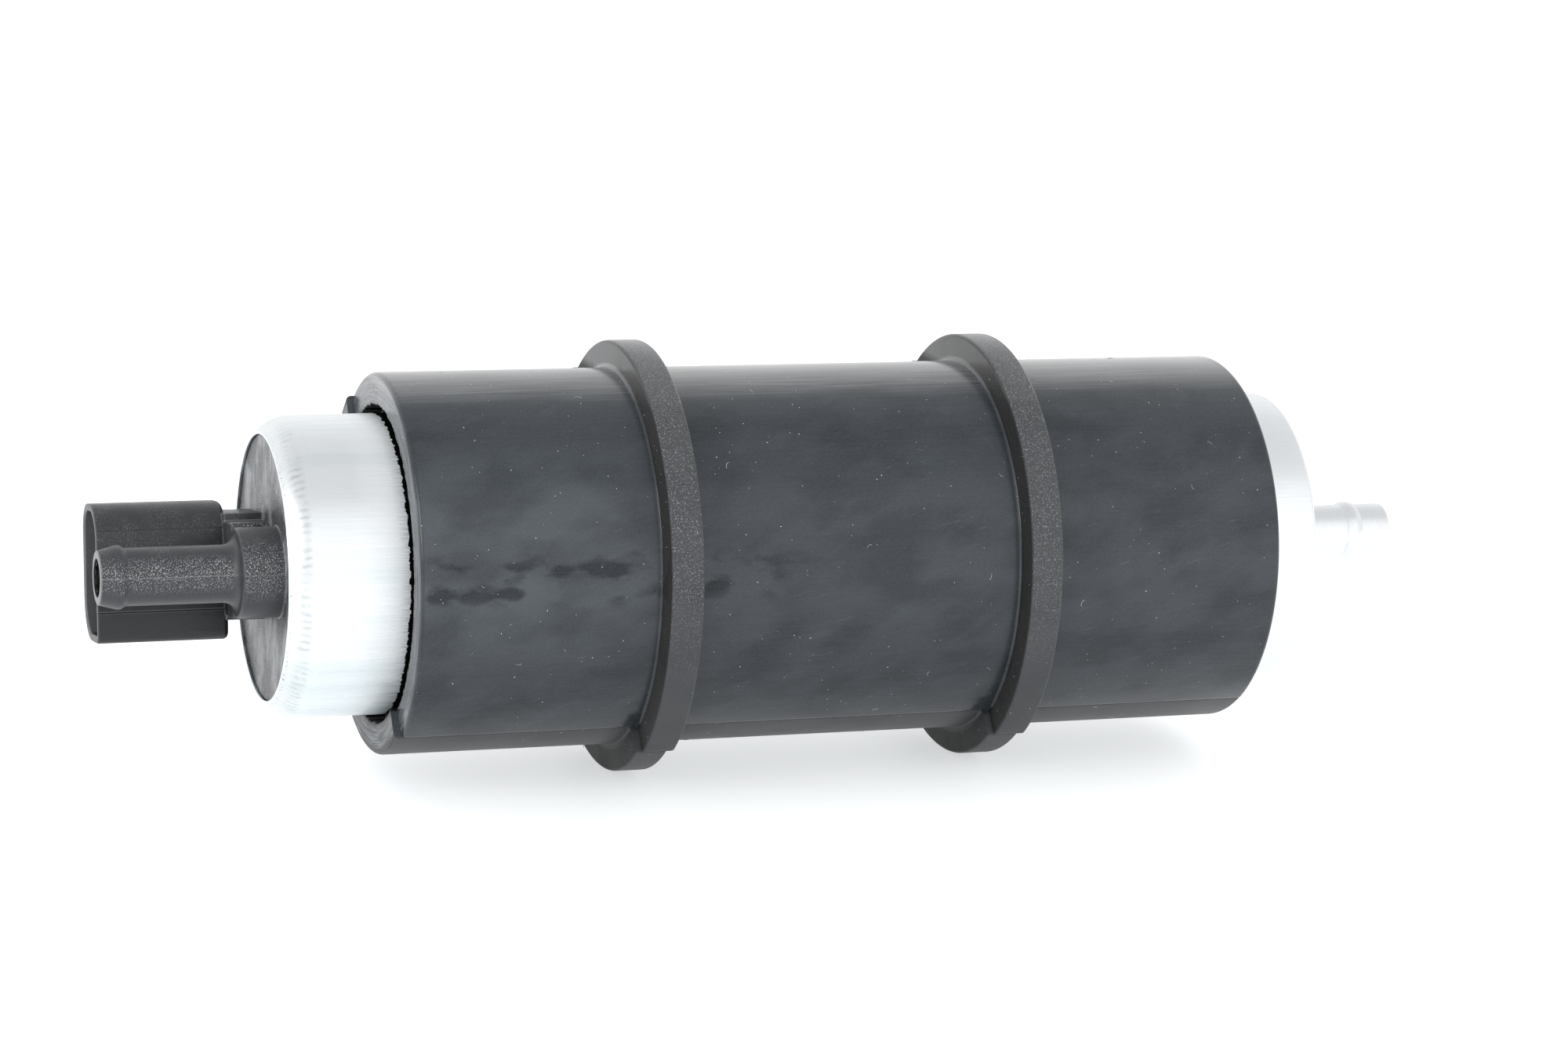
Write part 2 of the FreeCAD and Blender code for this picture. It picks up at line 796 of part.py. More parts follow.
def make_check_valve():
    """Outlet check valve: pressed seat, sprung poppet and spring, beside the axis."""
    offset = dim.outlet_offset
    chamber = dim.valve_chamber_diameter / 2
    seat_x = valve_boss_x - dim.valve_seat_thickness
    hole = dim.valve_seat_hole / 2
    tube(
        "check_valve_seat", seat_x, valve_boss_x, chamber - dim.seat_clearance, hole,
        with_cap=True, offset=offset,
    )
    head = dim.poppet_diameter / 2
    stem = dim.poppet_stem_diameter / 2
    base_x = seat_x - dim.valve_seat_gap
    head_x = base_x - dim.poppet_thickness
    stem_x = head_x - dim.poppet_stem
    nose = hole - dim.guide_clearance
    poppet = Piece("check_valve_poppet", with_cap=True)
    poppet.revolve([
        (stem_x, 0),
        (stem_x, stem),
        (head_x, stem),
        (head_x, head),
        (base_x, head),
        (base_x, nose),
        (base_x + dim.poppet_nose, nose),
        (base_x + dim.poppet_nose, 0),
    ], offset)
    tube(
        "check_valve_spring", valve_chamber_x, head_x, head, head - dim.valve_spring_wire,
        with_cap=True, offset=offset,
    )


def brush_side(side):
    """Low and high z of the brush on one side of the axis."""
    middle = dim.brush_radial * side
    return middle - dim.brush_height / 2, middle + dim.brush_height / 2


def make_brush_holder():
    """Plate with two brush guides and the seat of the front bush."""
    holder = Piece("brush_holder", with_cap=True)
    holder.pad(skirt_end_x, holder_x, circle(stack_radius))
    boss = shaft_radius + dim.bush_wall + dim.bush_boss_wall
    holder.pad(skirt_end_x, front_bush_end_x, circle(boss))
    box_x = brush_box_x
    box_end_x = commutator_x - dim.brush_box_gap
    wall = dim.brush_box_wall
    half_width = dim.brush_width / 2
    for side in (1, -1):
        low, high = brush_side(side)
        holder.pad(box_x, box_end_x, box(
            -half_width - wall, half_width + wall, low - wall, high + wall
        ))
    fit = dim.guide_clearance
    for side in (1, -1):
        low, high = brush_side(side)
        holder.cut(box_x + wall, box_end_x, box(
            -half_width - fit, half_width + fit, low - fit, high + fit
        ))
        place = dim.brush_radial * side
        half_lead = dim.lead_width / 2 + fit
        holder.cut(box_x, box_x + wall, box(
            -half_lead, half_lead, place - half_lead, place + half_lead
        ))
    holder.cut(front_bush_x, front_bush_end_x, circle(
        shaft_radius + dim.bush_wall + dim.seat_clearance
    ))
    holder.cut(skirt_end_x, holder_x, circle(
        dim.holder_flow_hole / 2, -dim.outlet_offset, 0
    ))


def make_brushes():
    """Carbon brushes with their springs and the leads through the springs."""
    brush_end_x = commutator_x - dim.brush_gap
    brush_x = brush_end_x - dim.brush_length
    half_width = dim.brush_width / 2
    spring = dim.brush_spring_diameter / 2
    half_lead = dim.lead_width / 2
    for name, side in (("plus", 1), ("minus", -1)):
        low, high = brush_side(side)
        place = dim.brush_radial * side
        brush = Piece(f"brush_{name}", with_cap=True)
        brush.pad(brush_x, brush_end_x, box(-half_width, half_width, low, high))
        coil = Piece(f"brush_spring_{name}", with_cap=True)
        coil.pad(
            brush_box_x + dim.brush_box_wall, brush_x,
            circle(spring, 0, place), circle(spring - dim.brush_spring_wire, 0, place),
        )
        lead = Piece(f"brush_lead_{name}", with_cap=True)
        lead.pad(cup_floor_x + dim.lead_room, brush_x, box(
            -half_lead, half_lead, place - half_lead, place + half_lead
        ))


def make_chokes():
    """Two interference chokes beside the brush guides: square ferrite cores in wound coils."""
    cores = []
    coils = []
    core = dim.choke_core_width / 2
    coil = dim.choke_coil_width / 2
    eye = core + dim.seat_clearance
    y = shroud_middle + dim.blade_tail_width / 2 + dim.choke_gap + coil
    for name, side in SIDES:
        z = dim.choke_spacing / 2 * side
        cores.append(block(
            cup_floor_x, skirt_end_x, y - core, y + core, z - core, z + core, f"core_{name}"
        ))
        start = cup_floor_x + dim.choke_coil_inset
        end = skirt_end_x - dim.choke_coil_inset
        wound = doc.addObject("Part::Cut", f"coil_{name}")
        wound.Base = block(
            start, end, y - coil, y + coil, z - coil, z + coil, f"coil_outside_{name}"
        )
        wound.Tool = block(start, end, y - eye, y + eye, z - eye, z + eye, f"coil_inside_{name}")
        coils.append(wound)
    for label, members in (("choke_cores", cores), ("choke_coils", coils)):
        turn_with_cap(group(label, members))


def make_shaft():
    """Armature shaft, with two flats that drive the inner gear."""
    shaft = Piece("armature_shaft")
    end_x = gear_floor_x + dim.bush_boss_floor
    shaft.pad(front_bush_x, end_x, circle(shaft_radius))
    half_flat = dim.drive_flat_width / 2
    shaft.cut(
        ring_x, end_x,
        box(half_flat, shaft_radius * 2, -shaft_radius * 2, shaft_radius * 2),
        box(-shaft_radius * 2, -half_flat, -shaft_radius * 2, shaft_radius * 2),
    )
    shaft.bevel(dim.shaft_chamfer, lambda edge: on_circle(edge, front_bush_x, shaft_radius))


def make_bushes():
    """Sintered bushes at both ends of the armature, and the thrust washers beside them."""
    bore = shaft_radius + dim.running_clearance
    outer = shaft_radius + dim.bush_wall
    tube("front_bush", front_bush_x, front_bush_end_x, outer, bore)
    tube("rear_bush", rear_bush_x, ring_x - dim.gear_side_play, outer, bore)
    washers = []
    rim = shaft_radius + dim.washer_rim
    eye = shaft_radius + dim.seat_clearance
    for name, start in (("front", front_washer_x), ("rear", rear_washer_x)):
        end = start + dim.washer_thickness
        washer = doc.addObject("Part::Cut", f"{name}_washer")
        washer.Base = rod(start, end, rim, 0, 0, f"{name}_washer_rim")
        washer.Tool = rod(start, end, eye, 0, 0, f"{name}_washer_eye")
        washers.append(washer)
    group("thrust_washers", washers)


def make_commutator():
    """Flat commutator: moulded hub with copper segments on its face."""
    outer = dim.commutator_diameter / 2
    eye = shaft_radius + dim.seat_clearance
    nose = shaft_radius + dim.washer_rim
    nose_x = commutator_x - dim.hub_nose
    hub = Piece("commutator_hub")
    hub.revolve([
        (nose_x, eye),
        (nose_x, nose),
        (hub_x, nose),
        (hub_x, outer),
        (hub_back_x, outer),
        (hub_back_x, eye),
    ])
    segments = Piece("commutator_segments")
    segments.body.AllowCompound = True
    pitch = FULL_TURN / dim.segment_count
    slot_angle = dim.segment_slot / outer * math.degrees(1)
    first = segments.pad(commutator_x, hub_x, sector(
        dim.commutator_eye / 2, outer, pitch / 2, (pitch - slot_angle) / 2
    ))
    segments.repeat(first, dim.segment_count)


def make_armature():
    """Slotted laminated core, and the winding through its slots."""
    radius = dim.core_diameter / 2
    eye = shaft_radius + dim.seat_clearance
    core = Piece("armature_core")
    core.pad(core_x, core_end_x, circle(radius), circle(eye))
    slot = core.cut(core_x, core_end_x, slot_outline(radius, 0, dim.slot_mouth / 2))
    core.repeat(slot, dim.slot_count)
    winding = Piece("armature_winding")
    inset = dim.winding_inset
    outer = radius - dim.slot_mouth_depth - inset
    inner = dim.end_turn_inner
    start = core_x - dim.end_turn_length
    for low, high in ((start, core_x), (core_end_x, winding_end_x)):
        winding.revolve([(low, inner), (low, outer), (high, outer), (high, inner)])
    leg = winding.pad(core_x, core_end_x, slot_outline(radius, inset, 0))
    winding.repeat(leg, dim.slot_count)


def slot_outline(radius, inset, half_mouth):
    """Section of one winding slot on the y axis; half_mouth 0 leaves the mouth out."""
    half_pitch = HALF_TURN / dim.slot_count
    half_tooth = dim.tooth_width / 2 + inset
    floor = dim.slot_floor_radius + inset
    shoulder = radius - dim.slot_mouth_depth - inset
    floor_half = floor * sine(half_pitch) / cosine(half_pitch) - half_tooth / cosine(half_pitch)
    high_half = shoulder * sine(half_pitch) / cosine(half_pitch)
    high_half = (high_half - half_tooth / cosine(half_pitch)) * dim.slot_shoulder_share
    if not isinstance(half_mouth, Size):
        return [
            (floor, -floor_half),
            (shoulder, -high_half),
            (shoulder, high_half),
            (floor, floor_half),
        ]
    beyond = radius + dim.slot_mouth_depth
    return [
        (floor, -floor_half),
        (shoulder, -high_half),
        (shoulder, -half_mouth),
        (beyond, -half_mouth),
        (beyond, half_mouth),
        (shoulder, half_mouth),
        (shoulder, high_half),
        (floor, floor_half),
    ]


def make_field():
    """Flux ring, two shell magnets and the clips that spread them."""
    ring_bore = stack_radius - dim.flux_ring_wall
    tube("flux_ring", holder_x, stage_x, stack_radius, ring_bore)
    outer = ring_bore - dim.seat_clearance
    inner = ring_bore - dim.magnet_wall
    start = core_x - dim.magnet_overhang
    end = core_end_x + dim.magnet_overhang
    for name, side in SIDES:
        magnet = Piece(f"magnet_{name}")
        magnet.pad(start, end, sector(
            inner, outer, as_size(QUARTER_TURN * side), dim.magnet_half_angle
        ))
    clip_start = start + dim.clip_inset
    clip_end = end - dim.clip_inset
    reach = QUARTER_TURN - dim.magnet_half_angle - dim.clip_gap_angle
    sheet_angle = dim.clip_sheet / outer * math.degrees(1)
    clips = Piece("magnet_clips")
    clips.body.AllowCompound = True
    clip = clips.pad(clip_start, clip_end, clip_outline(outer, reach, sheet_angle))
    clips.repeat(clip, as_size(len(SIDES)))


def clip_outline(outer, reach, sheet_angle):
    """Section of one magnet clip: an arc along the flux ring, with a leg at each end."""
    inner = outer - dim.clip_sheet
    leg = outer - dim.clip_leg
    near = reach - sheet_angle
    middle = as_size(0)
    return [
        (leg * cosine(-reach), leg * sine(-reach)),
        (outer * cosine(-reach), outer * sine(-reach)),
        (outer * cosine(middle), outer * sine(middle), outer, 1),
        (outer * cosine(reach), outer * sine(reach), outer, 1),
        (leg * cosine(reach), leg * sine(reach)),
        (leg * cosine(near), leg * sine(near)),
        (inner * cosine(near), inner * sine(near)),
        (inner * cosine(middle), inner * sine(middle), inner, -1),
        (inner * cosine(-near), inner * sine(-near), inner, -1),
        (leg * cosine(-near), leg * sine(-near)),
    ]


def dowel_places():
    """Name, y and z of the two dowels through the pump stage."""
    for name, angle in (("far", dim.dowel_angle), ("near", HALF_TURN - dim.dowel_angle)):
        y = dim.dowel_circle_radius * cosine(angle)
        z = dim.dowel_circle_radius * sine(angle)
        yield name, y, z


def make_stage_housing():
    """Outlet plate and gear housing of the pump stage, lined up by two dowels."""
    hole = dim.dowel_diameter / 2 + dim.seat_clearance
    relief_z = -dim.relief_circle_radius
    bush_seat = shaft_radius + dim.bush_wall + dim.seat_clearance
    outlet_plate = Piece("outlet_plate")
    outlet_plate.pad(stage_x, ring_x, circle(stack_radius), circle(bush_seat))
    outlet_plate.cut(stage_x, ring_x, port_outline(0))
    outlet_plate.cut(stage_x, ring_x, circle(dim.relief_hole / 2, 0, relief_z))
    housing = Piece("gear_housing")
    gear_bore = outer_gear_radius + dim.running_clearance
    housing.pad(ring_x, can_floor_x, circle(stack_radius))
    housing.cut(ring_x, gear_floor_x, circle(gear_bore, 0, dim.gear_offset))
    housing.cut(ring_x, gear_floor_x, circle(dim.relief_bore / 2, 0, relief_z))
    housing.cut(recess_x, can_floor_x, circle(dim.suction_recess_diameter / 2))
    housing.cut(gear_floor_x, recess_x, port_outline(HALF_TURN))
    housing.cut(gear_floor_x, recess_x, circle(dim.relief_hole / 2, 0, relief_z))
    housing.cut(
        gear_floor_x, gear_floor_x + dim.bush_boss_floor * 2,
        circle(shaft_radius + dim.running_clearance),
    )
    dowel_x = stage_x + dim.dowel_inset
    dowel_end_x = ring_x + dim.dowel_reach
    dowels = []
    for name, y, z in dowel_places():
        housing.cut(ring_x, dowel_end_x, circle(hole, y, z))
        outlet_plate.cut(dowel_x, ring_x, circle(hole, y, z))
        dowels.append(rod(
            dowel_x, dowel_end_x, dim.dowel_diameter / 2, y, z, f"dowel_{name}"
        ))
    group("stage_dowels", dowels)


def port_outline(direction):
    """Kidney-shaped port beside the shaft."""
    return sector(
        dim.port_inner_radius, dim.port_outer_radius, as_size(direction), dim.port_half_angle
    )


def inner_gear_outline():
    """Closed outline of the inner gear: the envelope of the outer gear's round lobes, in arcs."""
    circle_radius = float(dim.lobe_circle_radius)
    lobe = float(dim.lobe_radius + dim.gear_clearance)
    shift = float(dim.gear_offset)
    teeth = int(float(dim.inner_teeth))
    arcs_per_tooth = 8
    steps = teeth * arcs_per_tooth * 2
    points = []
    for step in range(steps):
        phi = 2 * math.pi * step / steps
        lean = math.atan2(
            math.sin(teeth * phi),
            circle_radius / (shift * (teeth + 1)) - math.cos(teeth * phi),
        )
        along = (
            circle_radius * math.cos(phi)
            - lobe * math.cos(phi - lean)
            - shift * math.cos((teeth + 1) * phi)
        )
        across = (
            circle_radius * math.sin(phi)
            - lobe * math.sin(phi - lean)
            - shift * math.sin((teeth + 1) * phi)
        )
        points.append(FreeCAD.Vector(0, across, -along))
    arcs = [
        Part.Arc(points[step], points[step + 1], points[(step + 2) % steps]).toShape()
        for step in range(0, steps, 2)
    ]
    return Part.Wire(arcs)


def make_gears():
    """The gear pair: the inner gear on the shaft and the outer gear one tooth larger."""
    start = ring_x + dim.gear_side_play
    end = gear_floor_x - dim.gear_side_play
    width = float(end - start)
    fit = dim.running_clearance
    profile = Part.Face(inner_gear_outline())
    blank = profile.extrude(FreeCAD.Vector(width, 0, 0))
    bore = Part.makeCylinder(
        float(shaft_radius + fit), width, FreeCAD.Vector(), FreeCAD.Vector(1, 0, 0)
    )
    reach = float(dim.shaft_diameter)
    across = float(dim.drive_flat_width + fit * 2)
    flats = Part.makeBox(width, across, reach * 2, FreeCAD.Vector(0, -across / 2, -reach))
    inner_gear = doc.addObject("Part::Feature", "inner_gear")
    inner_gear.Label = "inner_gear"
    inner_gear.Shape = blank.cut(bore.common(flats))
    inner_gear.Placement.Base.x = float(start)
    bind(inner_gear, "Placement.Base.x", start)
    outer_teeth = dim.inner_teeth + 1
    root_radius = dim.lobe_circle_radius - dim.lobe_radius + dim.gear_offset * 2
    outer_gear = Piece("outer_gear")
    outer_gear.body.Placement.Base.z = float(dim.gear_offset)
    bind(outer_gear.body, "Placement.Base.z", dim.gear_offset)
    outer_gear.pad(
        start, end, circle(outer_gear_radius), circle(root_radius + dim.gear_clearance),
    )
    lobe = outer_gear.pad(start, end, circle(dim.lobe_radius, 0, -dim.lobe_circle_radius))
    outer_gear.repeat(lobe, outer_teeth)


def make_relief_valve():
    """Pressure relief valve in the gear housing: a plunger and its spring."""
    relief_z = -dim.relief_circle_radius
    start = ring_x + dim.valve_seat_gap
    head_x = start + dim.relief_valve_length
    guide = dim.relief_bore / 2 - dim.guide_clearance
    nose = dim.relief_hole / 2 - dim.guide_clearance
    plunger = Piece("relief_valve")
    plunger.body.Placement.Base.z = float(relief_z)
    bind(plunger.body, "Placement.Base.z", relief_z)
    plunger.revolve([
        (start - dim.relief_nose, 0),
        (start - dim.relief_nose, nose),
        (start, nose),
        (start, guide),
        (head_x, guide),
        (head_x, 0),
    ])
    spring = Piece("relief_spring")
    spring.pad(
        head_x, gear_floor_x,
        circle(guide, 0, relief_z), circle(guide - dim.relief_spring_wire, 0, relief_z),
    )


def make_suction_side():
    """Inlet nipple and strainer at the can's closed end."""
    outer = dim.nipple_diameter / 2
    bore = dim.nipple_bore / 2
    flange = dim.nipple_flange_diameter / 2
    flange_x = can_floor_x - dim.nipple_flange_thickness
    end_x = dim.can_end_reach + dim.nipple_reach
    bead_x = dim.can_end_reach + dim.nipple_bead_reach
    bead = dim.nipple_bead_diameter / 2
    half_bead = dim.nipple_bead_width / 2
    half_top = dim.nipple_bead_top / 2
    chamfer = dim.nipple_chamfer
    nipple = Piece("inlet_nipple")
    nipple.revolve([
        (flange_x, bore),
        (flange_x, flange),
        (can_floor_x, flange),
        (can_floor_x, outer),
        (bead_x - half_bead, outer),
        (bead_x - half_top, bead),
        (bead_x + half_top, bead),
        (bead_x + half_bead, outer),
        (end_x - chamfer, outer),
        (end_x, outer - chamfer),
        (end_x, bore),
    ])
    screen = dim.suction_recess_diameter / 2 - dim.seat_clearance
    strainer = Piece("inlet_strainer")
    screen_end_x = recess_x + dim.strainer_thickness
    strainer.pad(recess_x, screen_end_x, circle(screen))
    half_window = dim.strainer_window_width / 2
    window = strainer.cut(recess_x, screen_end_x, box(
        dim.strainer_window_start, dim.strainer_window_end, -half_window, half_window
    ))
    strainer.repeat(window, dim.strainer_window_count)


def make_cap_seal():
    """Seal ring in the rabbet between the end cap's skirt and the brush holder."""
    outer = can_bore - dim.seat_clearance
    inner = stack_radius - dim.seal_height + dim.seat_clearance
    tube("cap_seal_ring", skirt_end_x - dim.seal_width, skirt_end_x, outer, inner)


make_can()
make_sleeve()
make_end_cap()
make_terminals()
make_check_valve()
make_brush_holder()
make_brushes()
make_chokes()
make_shaft()
make_bushes()
make_commutator()
make_armature()
make_field()
make_stage_housing()
make_gears()
make_relief_valve()
make_suction_side()
make_cap_seal()
doc.recompute()


def is_used_inside(item):
    """Whether another object is built from this one."""
    return any(user.TypeId.startswith("Part::") for user in item.InList)


def nodes():
    """The objects that are sub-parts: bodies and finished shapes, not the tools they use."""
    for item in doc.Objects:
        if item.TypeId == "PartDesign::Body":
            yield item
        elif item.TypeId.startswith("Part::") and not is_used_inside(item):
            yield item


for item in doc.Objects:
    if "Invalid" in item.State or "Error" in item.State:
        raise RuntimeError(f"{item.Label} failed to build: {item.State}")
for node in nodes():
    if node.Shape.isNull() or not node.Shape.isValid() or not node.Shape.Solids:
        raise RuntimeError(f"{node.Label} has no valid shape")

os.makedirs("parts", exist_ok=True)
for node in nodes():
    node.Shape.exportStep(os.path.join("parts", f"{node.Label}.step"))
    print(f"{node.Label}: {len(node.Shape.Solids)} solid(s), {node.Shape.Volume:.1f} mm3")
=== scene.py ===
"""Looks of an in-line electric fuel pump that lies on the two ribs of its rubber sleeve.

The pump's axis is X, with the outlet barb and the plug shroud on the -X end. Sizes are in
millimetres and become metres where a mesh is made. A span is a pair of places: a mask is 0 at
the first and 1 at the second, and the second may be the lower one.
"""

import logging
import math
import random
from dataclasses import dataclass, field
from enum import Enum
from typing import Callable, Optional, Sequence

import bmesh
import bpy
from mathutils import Matrix, Vector


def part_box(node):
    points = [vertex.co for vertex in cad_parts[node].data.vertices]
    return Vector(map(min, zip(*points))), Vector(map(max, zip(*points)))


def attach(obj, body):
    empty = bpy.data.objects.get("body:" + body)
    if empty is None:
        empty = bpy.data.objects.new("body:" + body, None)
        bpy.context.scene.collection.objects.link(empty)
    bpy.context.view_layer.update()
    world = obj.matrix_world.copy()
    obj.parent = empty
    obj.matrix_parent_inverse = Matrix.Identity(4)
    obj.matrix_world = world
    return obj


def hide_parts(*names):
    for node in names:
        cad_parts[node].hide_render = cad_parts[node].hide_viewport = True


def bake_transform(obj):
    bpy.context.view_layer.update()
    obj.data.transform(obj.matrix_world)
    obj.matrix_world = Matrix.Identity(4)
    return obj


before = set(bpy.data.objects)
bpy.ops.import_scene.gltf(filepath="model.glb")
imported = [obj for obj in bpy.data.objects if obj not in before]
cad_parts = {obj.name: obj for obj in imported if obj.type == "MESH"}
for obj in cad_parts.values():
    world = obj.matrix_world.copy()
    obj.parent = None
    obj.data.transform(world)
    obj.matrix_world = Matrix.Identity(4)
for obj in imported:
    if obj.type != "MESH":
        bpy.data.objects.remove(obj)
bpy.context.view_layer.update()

MM = 0.001
# A mix node has sockets of one name for each kind of data: these numbers are the colour ones.
MIX_A, MIX_B, MIX_RESULT = 6, 7, 2
log = logging.getLogger("fuel_pump")

Colour = tuple[float, float, float, float]
Point = tuple[float, float, float]
Pair = tuple[float, float]
Warp = Callable[[float, float, float], Pair]
Tree = bpy.types.NodeTree
Node = bpy.types.Node
Socket = bpy.types.NodeSocket
Value = Socket | float
Mesh = bpy.types.Mesh
Material = bpy.types.Material
Object = bpy.types.Object
# The ways that masks look along: the barb's end, and the camera's side 15 degrees up.
LEFT: Point = (-1.0, 0.0, 0.0)
FRONT: Point = (0.0, -0.966, 0.259)


class Slot(Enum):
    """The record's material slots that go with the dressed pieces."""

    CAN = "can_metal"
    SLEEVE = "sleeve_rubber"
    CAP = "cap_plastic"
    NIPPLE = "nipple_metal"
    SPRING = "spring_steel"
    LEAD = "copper"


def paint(code: str) -> Colour:
    """Turn an sRGB hex colour into linear light.

    Args:
        code: Six hex digits.

    Returns:
        Red, green, blue and an alpha of 1.
    """
    channels = [int(code[index:index + 2], 16) / 255 for index in (0, 2, 4)]
    linear = [c / 12.92 if c <= 0.04045 else ((c + 0.055) / 1.055) ** 2.4 for c in channels]
    return (*linear, 1.0)


def add_node(tree: Tree, kind: str, inputs: Optional[dict] = None, **settings: object) -> Node:
    """Add one node with its settings, and fill or link its inputs.

    Args:
        tree: The node tree of a material, the world or a modifier.
        kind: The node's type.
        inputs: A value, or a socket to link from, for each input by name or number.
        settings: The node's own properties.

    Returns:
        The node.
    """
    made = tree.nodes.new(kind)
    for name, value in settings.items():
        setattr(made, name, value)
    for socket, value in (inputs or {}).items():
        if isinstance(value, Socket):
            tree.links.new(value, made.inputs[socket])
        else:
            made.inputs[socket].default_value = value
    return made


class Wiring:
    """A node tree under construction, with short ways to add what most trees need."""

    def __init__(self, tree: Tree) -> None:
        """Work on a tree."""
        self.tree = tree

    def add(self, kind: str, inputs: Optional[dict] = None, **settings: object) -> Node:
        """Add one node."""
        return add_node(self.tree, kind, inputs, **settings)

    def calculate(self, operation: str, *values: Value) -> Socket:
        """Calculate with sockets and numbers.

        Args:
            operation: What to do, by the math node's own name for it.
            values: What goes in, in order.

        Returns:
            The result.
        """
        return self.add("ShaderNodeMath", dict(enumerate(values)), operation=operation).outputs[0]

    def all_of(self, *masks: Value) -> Value:
        """Multiply masks and shares.

        Args:
            masks: At least one mask or share.

        Returns:
            Their product.
        """
        result = masks[0]
        for mask in masks[1:]:
            result = self.calculate("MULTIPLY", result, mask)
        return result

    def ramp(
        self, value: Socket, low: float, high: float, bottom: float = 0.0, top: float = 1.0
    ) -> Socket:
        """Map one range to another, without going past its ends.

        Args:
            value: What is mapped.
            low: The value that gives the bottom.
            high: The value that gives the top.
            bottom: The result at low.
            top: The result at high.

        Returns:
            The mapped value.
        """
        return self.add("ShaderNodeMapRange", {
            "Value": value, "From Min": low, "From Max": high, "To Min": bottom, "To Max": top,
        }).outputs["Result"]


